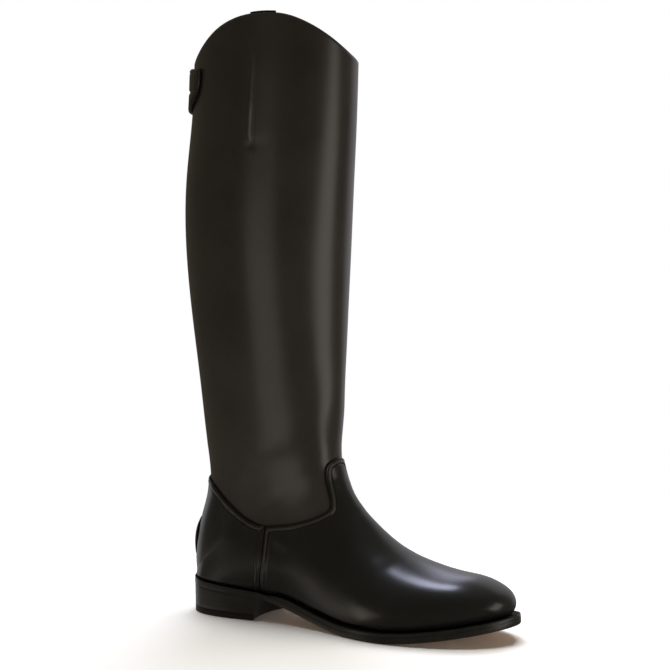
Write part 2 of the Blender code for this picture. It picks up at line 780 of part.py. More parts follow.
for old in list(bpy.data.objects):
    bpy.data.objects.remove(old, do_unlink=True)

build_upper(leather("upper leather", (0.020, 0.017, 0.013), 0.38))
build_vamp(leather("vamp leather", (0.010, 0.009, 0.007), 0.25))
build_counter(leather("counter leather", (0.013, 0.011, 0.009), 0.28))
build_back_tab(leather("tab leather", (0.030, 0.027, 0.024), 0.40))
build_spur_rest(leather("rest leather", (0.010, 0.010, 0.012), 0.35))
build_pull_strap(leather("strap webbing", (0.020, 0.018, 0.016), 0.80))
build_insole(leather("insole leather", (0.420, 0.270, 0.150), 0.60))
build_welt(leather("welt leather", (0.016, 0.014, 0.012), 0.50))
build_outsole(leather("sole leather", (0.018, 0.017, 0.015), 0.45))
HEEL_MATERIAL = leather("heel leather", (0.016, 0.015, 0.013), 0.45)
LIFT_MATERIAL = leather("lift rubber", (0.008, 0.008, 0.008), 0.65)
build_heel(HEEL_MATERIAL, LIFT_MATERIAL)
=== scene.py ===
import math

import bmesh
import bpy
import numpy as np
from mathutils import Matrix, Quaternion, Vector
from mathutils.bvhtree import BVHTree


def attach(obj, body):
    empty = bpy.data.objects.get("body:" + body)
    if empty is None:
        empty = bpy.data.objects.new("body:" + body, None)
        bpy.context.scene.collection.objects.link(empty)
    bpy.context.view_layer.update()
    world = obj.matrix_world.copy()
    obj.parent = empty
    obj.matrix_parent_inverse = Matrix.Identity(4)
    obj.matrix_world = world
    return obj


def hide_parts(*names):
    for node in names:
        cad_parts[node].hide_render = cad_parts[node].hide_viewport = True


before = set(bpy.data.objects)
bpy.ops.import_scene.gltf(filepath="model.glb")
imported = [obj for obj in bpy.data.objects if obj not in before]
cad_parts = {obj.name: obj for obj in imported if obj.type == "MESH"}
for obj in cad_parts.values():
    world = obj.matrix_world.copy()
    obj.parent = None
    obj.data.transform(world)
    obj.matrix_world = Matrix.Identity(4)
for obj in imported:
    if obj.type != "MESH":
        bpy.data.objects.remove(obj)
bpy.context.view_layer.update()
bpy.context.scene.view_settings.view_transform = "Standard"
print("frame loaded:", len(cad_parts), "nodes")

# sizes in mm from the back of the heel on the floor; finishPiece moves them to the part's own place
lastSizes = {"originX": 148.7, "gap": 0.3, "featherLift": 1.6, "tuck": 0.25, "wall": 2.0,
             "collarBlend": 300.0}
soleSizes = {
    "length": 300.0, "ballWidth": 106.0, "heelLength": 78.0, "heelBack": 24.7, "heelBreast": 19.5,
    "waistSlope": -0.18, "treadStart": 172.0, "treadEnd": 205.0, "toeSpring": 14.5, "toeCurve": 1.4,
    "thick": 5.0, "welt": 3.2, "weltStart": 80.0, "weltSkive": 26.0,
}

# outline of the sole: share of the length, share of the ball width to the inner side
soleOutline = [
    (0.000, 0.000), (0.042, -0.238), (0.130, -0.316), (0.265, -0.308), (0.390, -0.328),  # heel, outer waist
    (0.520, -0.415), (0.640, -0.506), (0.760, -0.492), (0.865, -0.408), (0.957, -0.228),  # outer ball, toe
    (1.000, 0.038), (0.962, 0.262), (0.880, 0.398), (0.790, 0.462), (0.690, 0.492),  # tip, inner ball
    (0.570, 0.430), (0.430, 0.298), (0.280, 0.276), (0.130, 0.316), (0.042, 0.238),  # inner waist, heel
]
# x, way from the sole's edge in to the upper
featherMargins = [(0, 3.2), (30, 3.4), (80, 5.2), (130, 6.0), (200, 8.0), (300, 9.0)]

# cross sections of the last: a front point, a back point (None where the underside is open), its fullness
sectionColumns = ["frontX", "frontZ", "backX", "backZ", "spread", "level", "fullness", "ridge"]
sections = [
    (300.0, 0.0, 300.0, None, 0.0, 0.40, 0.02, 0.0),  # toe tip
    (292.0, 29.5, 286.5, None, 0.8, 0.40, 0.02, 0.0),
    (288.5, 37.2, 278.0, None, 1.4, 0.38, 0.03, 0.0),
    (279.5, 43.2, 267.5, None, 1.9, 0.35, 0.04, 0.5),
    (266.0, 47.8, 255.0, None, 2.2, 0.33, 0.04, 1.5),
    (243.0, 50.3, 237.0, None, 2.4, 0.31, 0.04, 3.0),  # cap
    (212.0, 56.5, 207.0, None, 2.6, 0.30, 0.02, 4.5),  # joint
    (186.0, 68.0, 176.0, None, 3.2, 0.32, 0.00, 5.0),
    (166.0, 85.5, 140.0, None, 5.0, 0.40, -0.02, 4.5),  # waist
    (149.0, 104.0, 101.0, None, 8.0, 0.44, -0.01, 3.5),  # instep
    (140.4, 118.5, 60.0, None, 6.5, 0.43, 0.03, 2.0),
    (136.6, 129.0, 26.0, None, 6.5, 0.41, 0.07, 1.0),
    (135.2, 137.5, 0.0, None, 34.5, 0.41, 0.09, 0.5),  # heel rear
    (134.9, 144.5, 2.5, 41.0, 35.0, 0.41, 0.09, 0.0),
    (135.0, 152.5, 3.8, 58.0, 36.0, 0.43, 0.08, 0.0),
    (136.0, 162.0, 9.5, 80.0, 38.0, 0.45, 0.06, 0.0),
    (137.3, 175.0, 16.6, 104.0, 41.5, 0.47, 0.03, 0.0),  # ankle
    (138.3, 194.0, 14.8, 140.0, 45.0, 0.48, 0.00, 0.0),
    (138.8, 223.0, 9.4, 190.0, 50.0, 0.49, 0.00, 0.0),
    (139.6, 260.0, 3.2, 245.0, 56.0, 0.50, 0.00, 0.0),
    (141.0, 305.0, -1.5, 300.0, 61.5, 0.50, 0.00, 0.0),  # calf
    (143.7, 365.0, -1.5, 362.0, 63.0, 0.50, 0.00, 0.0),
    (146.3, 415.0, 4.5, 408.0, 62.0, 0.50, 0.00, 0.0),
    (148.0, 463.0, 7.0, 450.0, 61.5, 0.50, 0.00, 0.0),  # collar
]
heelRearRow = 12
collarLine = [  # degrees round the leg (0 front, -90 outer side), height
    (-180, 461.0), (-165, 461.2), (-150, 463.0), (-130, 474.0), (-108, 491.0), (-88, 501.0), (-68, 503.8),
    (-56, 502.4), (-45, 498.2), (-20, 483.5), (0, 472.0), (30, 464.0), (90, 460.0), (140, 460.2),
    (165, 460.9), (180, 461.0),
]
# seams in the side view, x and z
sideSeam = [(73.5, 5.0), (77.8, 27.0), (81.6, 43.0), (84.2, 57.7), (85.7, 70.3), (86.9, 82.0)]
vampTop = [(86.9, 82.0), (98.0, 83.5), (110.0, 85.4), (121.0, 88.5), (131.0, 92.0), (136.6, 95.2),
           (139.6, 98.4), (139.5, 101.8), (136.8, 110.0), (134.3, 116.8), (132.7, 122.8), (132.1, 128.5),
           (132.5, 132.6), (133.7, 135.8), (136.6, 139.6)]
counterTop = [(86.9, 82.0), (77.7, 83.4), (69.6, 86.6), (62.0, 91.6), (54.3, 97.8), (45.0, 105.5),
              (37.0, 110.8), (27.0, 115.0), (14.0, 117.8)]


def splineAt(knots, rows, at):  # natural cubic through the rows
    knots, rows, at = np.asarray(knots, float), np.asarray(rows, float), np.asarray(at, float)
    step = np.diff(knots)
    slope = np.diff(rows, axis=0) / step.reshape((-1,) + (1,) * (rows.ndim - 1))
    matrix, bend = np.eye(len(knots)), np.zeros_like(rows)
    for i in range(1, len(knots) - 1):
        matrix[i, i - 1:i + 2] = step[i - 1], 2 * (step[i - 1] + step[i]), step[i]
        bend[i] = 6 * (slope[i] - slope[i - 1])
    second = np.linalg.solve(matrix, bend)
    i = np.clip(np.searchsorted(knots, at, side="right") - 1, 0, len(knots) - 2)
    shape = at.shape + (1,) * (rows.ndim - 1)
    width = step[i].reshape(shape)
    right = (at - knots[i]).reshape(shape)
    left = width - right
    ends = (second[i] * left**3 + second[i + 1] * right**3) / (6 * width)
    return ends + (rows[i] / width - second[i] * width / 6) * left \
        + (rows[i + 1] / width - second[i + 1] * width / 6) * right


def chainLengths(points):
    steps = np.linalg.norm(np.diff(np.asarray(points, float), axis=0), axis=1)
    return np.concatenate([[0.0], np.cumsum(steps)])


def smoothChain(points, count):
    knots = chainLengths(points)
    return splineAt(knots, points, np.linspace(0.0, knots[-1], count))


def ease(share):
    share = np.clip(share, 0.0, 1.0)
    return share * share * (3 - 2 * share)


def hump(distance, width):
    return np.exp(-(distance / width) ** 2)


def treadHeight(x):  # underside of the outsole: heel, arch, flat tread, toe spring
    s, x = soleSizes, np.asarray(x, float)
    span = s["treadStart"] - s["heelLength"]
    t = np.clip((x - s["heelLength"]) / span, 0.0, 1.0)
    arch = s["heelBreast"] * (1 - 3 * t**2 + 2 * t**3) + s["waistSlope"] * span * t * (1 - t) ** 2
    toeShare = np.clip((x - s["treadEnd"]) / (s["length"] - s["treadEnd"]), 0.0, None)
    seat = s["heelBack"] + (s["heelBreast"] - s["heelBack"]) * x / s["heelLength"]
    return np.where(x < s["heelLength"], seat, arch + s["toeSpring"] * toeShare ** s["toeCurve"])


def weltThick(x):
    return soleSizes["welt"] * ease((np.asarray(x, float) - soleSizes["weltStart"]) / soleSizes["weltSkive"])


def featherHeight(x):  # lower edge of the upper
    return (treadHeight(x) + soleSizes["thick"] + weltThick(x) + 2 * lastSizes["gap"]
            + lastSizes["featherLift"])


def insetChain(chain, distance):
    ahead = np.roll(chain, -1, axis=0) - np.roll(chain, 1, axis=0)
    inward = np.column_stack([-ahead[:, 1], ahead[:, 0]])
    inward /= np.linalg.norm(inward, axis=1, keepdims=True)
    return chain + inward * np.broadcast_to(distance, len(chain))[:, None]


def soleCurve(count):
    corners = np.array(soleOutline) * (soleSizes["length"], soleSizes["ballWidth"])
    rounds = np.vstack([corners, corners, corners, corners[:1]])
    knots = chainLengths(rounds)
    start, stop = knots[len(corners)], knots[2 * len(corners)]
    return splineAt(knots, rounds, np.linspace(start, stop, count, endpoint=False))


soleEdge = soleCurve(1440)
featherMargin = np.interp(soleEdge[:, 0], *np.transpose(featherMargins))
featherLine = insetChain(soleEdge, featherMargin)
featherBack, featherTip = featherLine[:, 0].min(), featherLine[:, 0].max()


def chainSides(chain):  # outer and inner side, each from heel to toe
    turned = np.roll(chain, -int(np.argmin(chain[:, 0])), axis=0)
    tip = int(np.argmax(turned[:, 0]))
    return turned[:tip + 1], np.vstack([turned[tip:], turned[:1]])[::-1]


featherSides = chainSides(featherLine)


def featherEdge(x):  # half width and middle of the upper's lower edge
    outer, inner = [np.interp(x, side[:, 0], side[:, 1]) for side in featherSides]
    return (inner - outer) / 2, (inner + outer) / 2


def sectionTable():
    values = []
    for row in sections:
        part = dict(zip(sectionColumns, row))
        edge = 0.0
        if part["backZ"] is None:
            part["backX"] = np.clip(part["backX"], featherBack, featherTip)
            part["backZ"] = float(featherHeight(part["backX"]))
            edge = featherEdge(part["backX"])[0]
        values.append([part["frontX"], part["frontZ"], math.sqrt(featherTip - part["backX"]), part["backZ"],
                       edge + part["spread"], part["level"], part["fullness"], part["ridge"]])
    values[0][:2] = featherTip, float(featherHeight(featherTip))
    values = np.array(values, float)
    return chainLengths(values[:, :2]), values


knots, values = sectionTable()
rearStation, endStation = knots[heelRearRow], knots[-1]
blendStart = np.interp(lastSizes["collarBlend"], values[:, 1], knots)


def collarHeight(turn):
    return splineAt(*np.transpose(collarLine), turn * 180)


def sectionAt(station):  # the widest place runs smoothly, the back line turns a corner at the heel
    columns = np.moveaxis(splineAt(knots, values, station), -1, 0)
    frontX, frontZ, setback, backZ, half, level, fullness, ridge = columns
    smoothX = featherTip - setback**2
    wideX, wideZ = smoothX + level * (frontX - smoothX), backZ + level * (frontZ - backZ)
    runs = [splineAt(knots[rows], values[rows][:, 2:4], station)
            for rows in (slice(heelRearRow + 1), slice(heelRearRow, None))]
    setback, backZ = np.moveaxis(np.where((station < rearStation)[..., None], *runs), -1, 0)
    return frontX, frontZ, featherTip - setback**2, backZ, half, wideX, wideZ, fullness, ridge


def plainPoint(station, turn):
    frontX, frontZ, backX, backZ, half, wideX, wideZ, fullness, ridge = sectionAt(station)
    isOpen = station < rearStation
    backZ = np.where(isOpen, featherHeight(backX), backZ)
    edge, middle = [np.where(isOpen, part, 0.0) for part in featherEdge(backX)]
    swell = np.sqrt(np.maximum(half**2 - edge**2, (lastSizes["tuck"] * edge) ** 2))
    half = np.hypot(edge, swell)
    angle = np.abs(turn) * math.pi
    atFront = angle <= math.pi / 2
    shoulder = 1 + fullness * np.sin(2 * angle) ** 2
    lean = np.arctan2(swell, edge + 1e-9)
    part = lean * (angle * 2 / math.pi - 1)
    share = np.where(atFront, np.cos(angle) * shoulder, np.sin(part) / np.maximum(np.sin(lean), 1e-9))
    out = np.where(atFront, np.sin(angle) * shoulder * half, half * np.cos(part))
    crest = np.where(atFront, np.cos(angle) ** 2, 0.0)
    x = wideX + (np.where(atFront, frontX, backX) - wideX) * share
    z = wideZ + (np.where(atFront, frontZ, backZ) - wideZ) * share
    return np.stack([x, middle + np.sign(turn) * out + ridge * crest, z], axis=-1)


# station runs from the toe tip up the leg; turn runs -1 to 1 round the last, 0 at the front
def lastPoint(station, turn):
    station, turn = np.broadcast_arrays(np.asarray(station, float), np.asarray(turn, float))
    turn = np.where(turn > 1, turn - 2, np.where(turn < -1, turn + 2, turn))
    point = plainPoint(station, turn)
    blend = ease((station - blendStart) / (endStation - blendStart))
    top = plainPoint(np.full_like(station, endStation), turn)[..., 2]
    point[..., 2] += blend * (collarHeight(turn) - top)
    return point


# small steps from which the last's normal is taken, and how near it comes to the toe tip and the lower edge
probe = {"station": 0.05, "turn": 1e-4, "tip": 0.8, "edge": 0.9999}


def raisedPoint(station, turn, height):  # the last lifted along its normal
    station, turn = np.broadcast_arrays(np.asarray(station, float), np.asarray(turn, float))
    near, step = np.maximum(station, probe["tip"]), probe["station"]
    low = np.where((near < rearStation) & (turn <= -probe["edge"]), -1.0, turn - probe["turn"])
    high = np.where((near < rearStation) & (turn >= probe["edge"]), 1.0, turn + probe["turn"])
    normal = np.cross(lastPoint(near, high) - lastPoint(near, low),
                      lastPoint(near + step, turn) - lastPoint(near - step, turn))
    normal /= np.linalg.norm(normal, axis=-1, keepdims=True)
    return lastPoint(station, turn) + normal * np.broadcast_to(height, station.shape)[..., None]


def evenStations(start, end, step):  # rows no further apart than step anywhere round the last
    fine = np.linspace(start, end, 1500)
    walk = lastPoint(fine[:, None], np.linspace(-1, 1, 33)[None, :])
    reach = np.concatenate([[0.0], np.cumsum(np.linalg.norm(np.diff(walk, axis=0), axis=-1).max(axis=1))])
    return np.interp(np.linspace(0.0, reach[-1], int(reach[-1] / step) + 2), reach, fine)


# columns round the last, closer near some turns
def evenTurns(station, step, closeTo=(), closeStep=0.45, closeReach=4.0):
    fine = np.linspace(-1, 1, 4001)
    reach = chainLengths(lastPoint(np.full_like(fine, station), fine))
    density = np.full_like(fine, 1 / step)
    for turn in closeTo:
        away = np.abs(reach - np.interp(turn, fine, reach))
        density = np.maximum(density, (1 / closeStep) * hump(away, closeReach))
    count = np.concatenate([[0.0], np.cumsum((density[1:] + density[:-1]) / 2 * np.diff(reach))])
    return np.interp(np.linspace(0.0, count[-1], int(count[-1]) + 2), count, fine)


def heightStation(height, turn):  # station where the leg reaches a height
    fine = np.linspace(rearStation, endStation, 400)
    tracks = lastPoint(fine[:, None], np.ravel(turn)[None, :])[..., 2].T
    found = [np.interp(z, track, fine) for z, track in zip(np.ravel(height), tracks)]
    return np.array(found).reshape(np.shape(turn))


print("last worked out:", len(sections), "sections")


def linear(code):  # sRGB hex to linear
    parts = [int(code[i:i + 2], 16) / 255 for i in (1, 3, 5)]
    return (*[c / 12.92 if c <= 0.04045 else ((c + 0.055) / 1.055) ** 2.4 for c in parts], 1.0)


def setInputs(tree, node, inputs):  # a socket is linked, any other value is set
    for key, value in inputs.items():
        if isinstance(value, bpy.types.NodeSocket):
            tree.links.new(value, node.inputs[key])
        else:
            node.inputs[key].default_value = value


def addNode(tree, kind, inputs=None, **settings):
    node = tree.nodes.new("ShaderNode" + kind)
    for key, value in settings.items():
        setattr(node, key, value)
    setInputs(tree, node, inputs or {})
    return node


def mixColour(tree, share, first, second):
    mix = addNode(tree, "Mix", {0: share, 6: first, 7: second}, data_type="RGBA")  # 6 and 7 are its colours
    return mix.outputs[2]


def startMaterial(name, **sockets):
    material = bpy.data.materials.new(name)
    material.use_nodes = True
    tree = material.node_tree
    shader = tree.nodes["Principled BSDF"]
    setInputs(tree, shader, sockets)
    return material, tree, shader


def setRamp(node, stops):
    ramp = node.color_ramp
    while len(ramp.elements) < len(stops):
        ramp.elements.new(1.0)
    for element, (position, colour) in zip(ramp.elements, stops):
        element.position = position
        element.color = colour


bandReach = 10.0  # mm from a seam within which its colours lie
# pale tone mixed in along the leg's strap ridge: a painted highlight
sheenTone = "#86827b"


# mottle, pores, grain and slack by their size in mm, the last three with the depth of their bump in mm;
# dark edge: how far in mm the dark runs in from a seam, ink on cut edges and painted shade on the lining
def leather(name, tone, mottle, rough, pores, grain, slack, edge=None, darkEdgeMm=0.1, coat=(0.0, 0.3), ior=1.5,
            bands=None):
    material, tree, shader = startMaterial(name, **{
        "Metallic": 0.0, "IOR": ior, "Coat Weight": coat[0], "Coat Roughness": coat[1], "Coat IOR": 1.5})
    place = addNode(tree, "TexCoord").outputs["Object"]

    def noise(size, detail):
        inputs = {"Vector": place, "Scale": 1000 / size, "Detail": detail}
        return addNode(tree, "TexNoise", inputs).outputs["Fac"]

    def bump(height, deep, **under):
        return addNode(tree, "Bump", {"Height": height, "Distance": deep / 1000, **under}).outputs["Normal"]

    seam, sheenShare = [addNode(tree, "Attribute", attribute_name=key).outputs["Fac"] for key in ("seam", "paintedSheen")]
    cloud = noise(mottle, 5.0)
    body = addNode(tree, "ValToRGB", {"Fac": cloud})
    setRamp(body, [(0.3, linear(tone[0])), (0.72, linear(tone[1]))])
    reach = addNode(tree, "MapRange", {"Value": seam, "From Min": 0.0, "From Max": bandReach})
    border = addNode(tree, "ValToRGB", {"Fac": reach.outputs["Result"]})
    edge = edge or tone[0]
    stops = bands or [(0.0, edge, 0.85), (darkEdgeMm, edge, 0.0)]
    setRamp(border, [(mm / bandReach, (*linear(code)[:3], strength)) for mm, code, strength in stops])
    # bands near a seam: inked cut edges; on the panels painted shade in the grooves and a painted highlight
    # on the raised band; on the lining painted shade
    edgeInkShadeHighlight = mixColour(tree, border.outputs["Alpha"], body.outputs["Color"], border.outputs["Color"])
    # a pale tone mixed in where the mesh's attribute asks for it: a painted highlight on the strap ridge
    withSheen = mixColour(tree, sheenShare, edgeInkShadeHighlight, linear(sheenTone))
    gloss = addNode(tree, "MapRange", {"Value": cloud, "From Min": 0.25, "From Max": 0.75,
                                       "To Min": rough[0], "To Max": rough[1]})
    cells = addNode(tree, "TexVoronoi", {"Vector": place, "Scale": 1000 / pores[0]}, feature="SMOOTH_F1")
    soft = bump(noise(slack[0], 1.0), slack[1])
    fine = bump(cells.outputs["Distance"], pores[1], Normal=soft)
    grained = bump(noise(grain[0], 3.0), grain[1], Normal=fine)
    setInputs(tree, shader, {"Base Color": withSheen, "Roughness": gloss.outputs["Result"], "Normal": grained})
    return material


# waxed calf, satin: warm black-brown, broad soft highlights, hardly any grain
legCalf = leather("calf_leather_satin", tone=("#2d2a27", "#38332e"), mottle=55.0, rough=(0.28, 0.31),
                  pores=(1.7, 0.02), grain=(0.9, 0.02), slack=(70.0, 0.35), edge="#11100d", darkEdgeMm=1.5,
                  coat=(0.1, 0.28))
seamShadeAndHighlight = [  # mm in from the cut edge, colour, strength: dark cut edge, partly ink and partly painted shade; light band on the raised ridge, a painted highlight; dark stitch grooves, painted shade
    (0.0, "#040404", 0.95), (0.5, "#040404", 0.9), (1.0, "#12110f", 0.3), (1.7, "#0a0a09", 0.7),
    (2.4, "#38352f", 0.7), (3.6, "#45413a", 0.8), (4.3, "#1a1815", 0.6), (4.7, "#040404", 0.95),
    (5.3, "#040404", 0.9), (6.0, "#2a2824", 0.45), (8.0, "#1a1815", 0.0)]
# box calf, polished: blacker, tighter highlights, pores that show only where a highlight breaks up
footCalf = leather("box_calf_polished", tone=("#131413", "#191a19"), mottle=40.0, rough=(0.28, 0.32),
                   pores=(1.6, 0.01), grain=(0.9, 0.01), slack=(45.0, 0.2), coat=(0.15, 0.2), bands=seamShadeAndHighlight)
# the same calf over a pad, a little duller where it is handled
tabCalf = leather("padded_calf_satin", tone=("#211f1b", "#2b2823"), mottle=18.0, rough=(0.34, 0.42),
                  pores=(1.7, 0.03), grain=(0.9, 0.025), slack=(20.0, 0.15), edge="#0b0b09", darkEdgeMm=1.0,
                  coat=(0.1, 0.25))
# near-black dull calf, a painted shade: almost no highlight, so the patch reads as a black hollow
restCalf = leather("calf_black_painted_shade", tone=("#050504", "#0a0908"), mottle=12.0, rough=(0.55, 0.65),
                   pores=(1.4, 0.05), grain=(0.8, 0.05), slack=(20.0, 0.1), ior=1.4)
# undyed lining calf: dull tan with a soft nap, darkened 6 mm in from its cut edges as painted shade for the
# gap above the welt
liningCalf = leather("lining_calf_dull", tone=("#6d543b", "#8a6d4f"), mottle=30.0, rough=(0.6, 0.75),
                     pores=(2.2, 0.06), grain=(1.2, 0.05), slack=(40.0, 0.3), edge="#0c0a08", darkEdgeMm=6.0,
                     ior=1.45)
# edge-inked sole leather: black wax burnished over a cut edge, satin with faint run marks
inkedEdge = leather("sole_leather_inked", tone=("#191815", "#23211e"), mottle=14.0, rough=(0.3, 0.4),
                    pores=(1.4, 0.02), grain=(0.8, 0.03), slack=(12.0, 0.08), coat=(0.15, 0.25))
# near-black matte, darker than the inked edge: painted shade that keeps the groove under the upper dark, on
# the welt's top, the outsole's top and the insole's sides; the heel's breast takes it too
shadeBlack = leather("black_matte_painted_shade", tone=("#050505", "#0a0908"), mottle=14.0, rough=(0.5, 0.6),
                  pores=(1.4, 0.03), grain=(0.8, 0.04), slack=(12.0, 0.1), ior=1.4)
# oak-bark tanned bend: pale tan, dry, inked black along its border
oakBend = leather("oak_bend_bare", tone=("#a07a52", "#bd9568"), mottle=22.0, rough=(0.5, 0.62),
                  pores=(1.5, 0.04), grain=(0.9, 0.06), slack=(30.0, 0.15), edge="#14110e", darkEdgeMm=5.0, ior=1.45)
# moulded rubber lift: matt black with a fine stipple
liftRubber = leather("moulded_rubber_matt", tone=("#0b0b0a", "#121211"), mottle=10.0, rough=(0.5, 0.62),
                     pores=(1.2, 0.05), grain=(0.8, 0.05), slack=(20.0, 0.05))
# waxed linen thread: dark, slightly shiny beads
waxedThread = leather("linen_thread_waxed", tone=("#100f0d", "#1b1916"), mottle=6.0, rough=(0.42, 0.55),
                      pores=(0.8, 0.03), grain=(0.6, 0.04), slack=(9.0, 0.05))
print("materials made:", len(bpy.data.materials))

pieces = []
farSeam = 9.0  # mm from any seam, for pieces without one


def finishPiece(name, bm, materials, node, seam=None, shell=0.0, sharp=None):
    for vert in bm.verts:
        vert.co = (vert.co - Vector((lastSizes["originX"], 0.0, 0.0))) * 0.001
    mesh = bpy.data.meshes.new(name)
    bm.to_mesh(mesh)
    bm.free()
    for polygon in mesh.polygons:
        polygon.use_smooth = True
    if sharp:
        mesh.set_sharp_from_angle(angle=math.radians(sharp))
    if seam is not None:
        away = np.full(len(mesh.vertices), seam, np.float32)
        mesh.attributes.new("seam", "FLOAT", "POINT").data.foreach_set("value", away)
    for material in materials:
        mesh.materials.append(material)
    piece = bpy.data.objects.new(name, mesh)
    bpy.context.collection.objects.link(piece)
    if shell:
        wall = piece.modifiers.new("Wall", "SOLIDIFY")
        wall.thickness = shell * 0.001
        wall.offset = -1.0
        wall.material_offset = len(materials) - 1
    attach(piece, "root")
    if node:
        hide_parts(node)
    pieces.append(piece)
    print("piece made:", name, len(mesh.polygons), "faces")
    return piece


def gridOf(bm, points):  # points by row and column
    rows, columns = points.shape[:2]
    made = bmesh.ops.create_grid(bm, x_segments=columns - 1, y_segments=rows - 1, size=1.0)
    for vert in made["verts"]:
        column = round((vert.co.x + 1) / 2 * (columns - 1))
        row = round((vert.co.y + 1) / 2 * (rows - 1))
        vert.co = points[row, column]


flatScale = 100.0  # about as many mm round the last as one half turn


def flatGrid(bm, turns, stations):  # a pattern piece laid flat: x is the turn round the last, y the station
    x, y = np.meshgrid(np.multiply(turns, flatScale), stations)
    gridOf(bm, np.stack([x, y, np.zeros_like(x)], axis=-1))


def patternOf(bm):
    flat = np.array([vert.co[:2] for vert in bm.verts])
    return flat[:, 1], np.clip(flat[:, 0] / flatScale, -1.0, 1.0)


def placeVerts(bm, points):
    for vert, point in zip(bm.verts, points):
        vert.co = point


def setLayer(bm, name, values):
    layer = bm.verts.layers.float.new(name)
    for vert, value in zip(bm.verts, values):
        vert[layer] = value


def layerOf(bm, name):
    layer = bm.verts.layers.float[name]
    return np.array([vert[layer] for vert in bm.verts])


def tucked(points, station, turn):  # the lower edge reaches down on to the welt
    points[(station < rearStation) & (np.abs(turn) > 0.999), 2] -= 0.5
    return points


def distanceTo(points, targets):
    best = np.empty(len(points))
    for start in range(0, len(points), 4000):
        part = points[start:start + 4000]
        square = (part**2).sum(1)[:, None] + (targets**2).sum(1)[None] - 2 * part @ targets.T
        best[start:start + 4000] = np.sqrt(np.maximum(square, 0).min(axis=1))
    return best


# the leg and foot wall; the strap sewn inside presses a ridge and a dip through the leather
legLook = {
    "rowMm": 2.6, "columnMm": 2.8, "lowRowMm": 5.0, "girth": 190.0, "ankleGirth": 110.0, "foldLean": 0.12,
    "strapBack": -0.4275, "strapFront": -0.345, "strapFade": 0.03,
    "swell": 0.3, "swellIn": 12.0, "swellOut": 30.0, "ridgeHigh": 1.1, "ridgeWide": 1.2,
    "ridgeFrom": 401.0, "ridgeIn": 6.0, "ridgeFade": 440.0, "ridgeTo": 470.0,
    "dipDeep": 0.55, "dipWide": 3.5, "dipTall": 3.2, "dipAt": 397.5, "dipAhead": 1.0,
    "seamDeep": 0.45, "seamWide": 0.9, "seamFrom": 100.0, "seamIn": 10.0,
    "beadHigh": 0.25, "beadAway": 2.6, "beadWide": 1.5, "sheenWide": 1.1,
}
# height, share of the painted highlight on the ridge
sheenAlong = [(401.0, 0.0), (405.0, 0.5), (424.0, 0.55), (434.0, 0.2), (462.0, 0.12), (474.0, 0.0)]
legFolds = [  # turn, height, length across in mm, width up in mm, lift
    (-0.62, 150.0, 26.0, 7.0, 0.14), (-0.45, 138.0, 30.0, 6.0, -0.12), (-0.55, 126.0, 28.0, 6.0, 0.12),
    (0.58, 146.0, 26.0, 7.0, 0.14), (0.45, 132.0, 28.0, 6.0, -0.12), (0.95, 150.0, 22.0, 7.0, -0.12),
    (0.05, 168.0, 30.0, 8.0, -0.1), (-0.05, 152.0, 30.0, 7.0, 0.12),
]


def legLift(point, turn):
    look = legLook
    z = point[..., 2]
    across = look["girth"] * (turn - look["strapBack"])  # mm round the leg at this height
    fade = 1 - ease((z - look["ridgeFade"]) / (look["ridgeTo"] - look["ridgeFade"]))
    window = ease((z - look["ridgeFrom"]) / look["ridgeIn"]) * fade
    lift = look["ridgeHigh"] * hump(across, look["ridgeWide"]) * window
    side = look["strapFade"]
    overStrap = ease((turn - look["strapBack"]) / side) \
        * ease((look["strapFront"] + side - turn) / (2 * side))
    lift += look["swell"] * overStrap * ease((z - look["dipAt"]) / look["swellIn"]) \
        * (1 - ease((z - look["ridgeTo"]) / look["swellOut"]))
    lift -= look["dipDeep"] * hump(across - look["dipAhead"], look["dipWide"]) \
        * hump(z - look["dipAt"], look["dipTall"])
    for foldTurn, height, wide, tall, high in legFolds:
        girth = look["ankleGirth"] * (np.mod(turn - foldTurn + 1, 2) - 1)
        lift += high * hump(girth, wide) * hump(z - height - look["foldLean"] * girth, tall)
    backLine = look["girth"] * (1 - np.abs(turn))
    upward = ease((z - look["seamFrom"]) / look["seamIn"])
    lift -= look["seamDeep"] * hump(backLine, look["seamWide"]) * upward
    lift += look["beadHigh"] * hump(backLine - look["beadAway"], look["beadWide"]) * upward
    return lift


def buildLeg():
    look = legLook
    bm = bmesh.new()
    turns = evenTurns(endStation * 0.8, look["columnMm"], (look["strapBack"], -1.0, 1.0))
    hiddenEnd = rearStation * 0.8  # below it the panels cover the wall
    hidden = evenStations(0.0, hiddenEnd, look["lowRowMm"])
    flatGrid(bm, turns, np.concatenate([hidden[:-1], evenStations(hiddenEnd, endStation, look["rowMm"])]))
    station, turn = patternOf(bm)
    points = lastPoint(station, turn)
    placeVerts(bm, tucked(raisedPoint(station, turn, legLift(points, turn)), station, turn))
    setLayer(bm, "edgeMm", np.minimum(endStation - station, points[:, 2] - featherHeight(points[:, 0])))
    # a pale band along the strap's ridge on the outer side: a painted highlight
    sheenShare = hump(look["girth"] * (turn - look["strapBack"]), look["sheenWide"])
    setLayer(bm, "paintedSheen", sheenShare * np.interp(points[:, 2], *np.transpose(sheenAlong)) * (turn < 0))
    bmesh.ops.remove_doubles(bm, verts=bm.verts[:], dist=0.002)
    # the lining inside takes a dark band along its edges: painted shade for the gap above the welt
    finishPiece("leg_wall", bm, [legCalf, liningCalf], "upper", layerOf(bm, "edgeMm"),
                shell=lastSizes["wall"])


buildLeg()


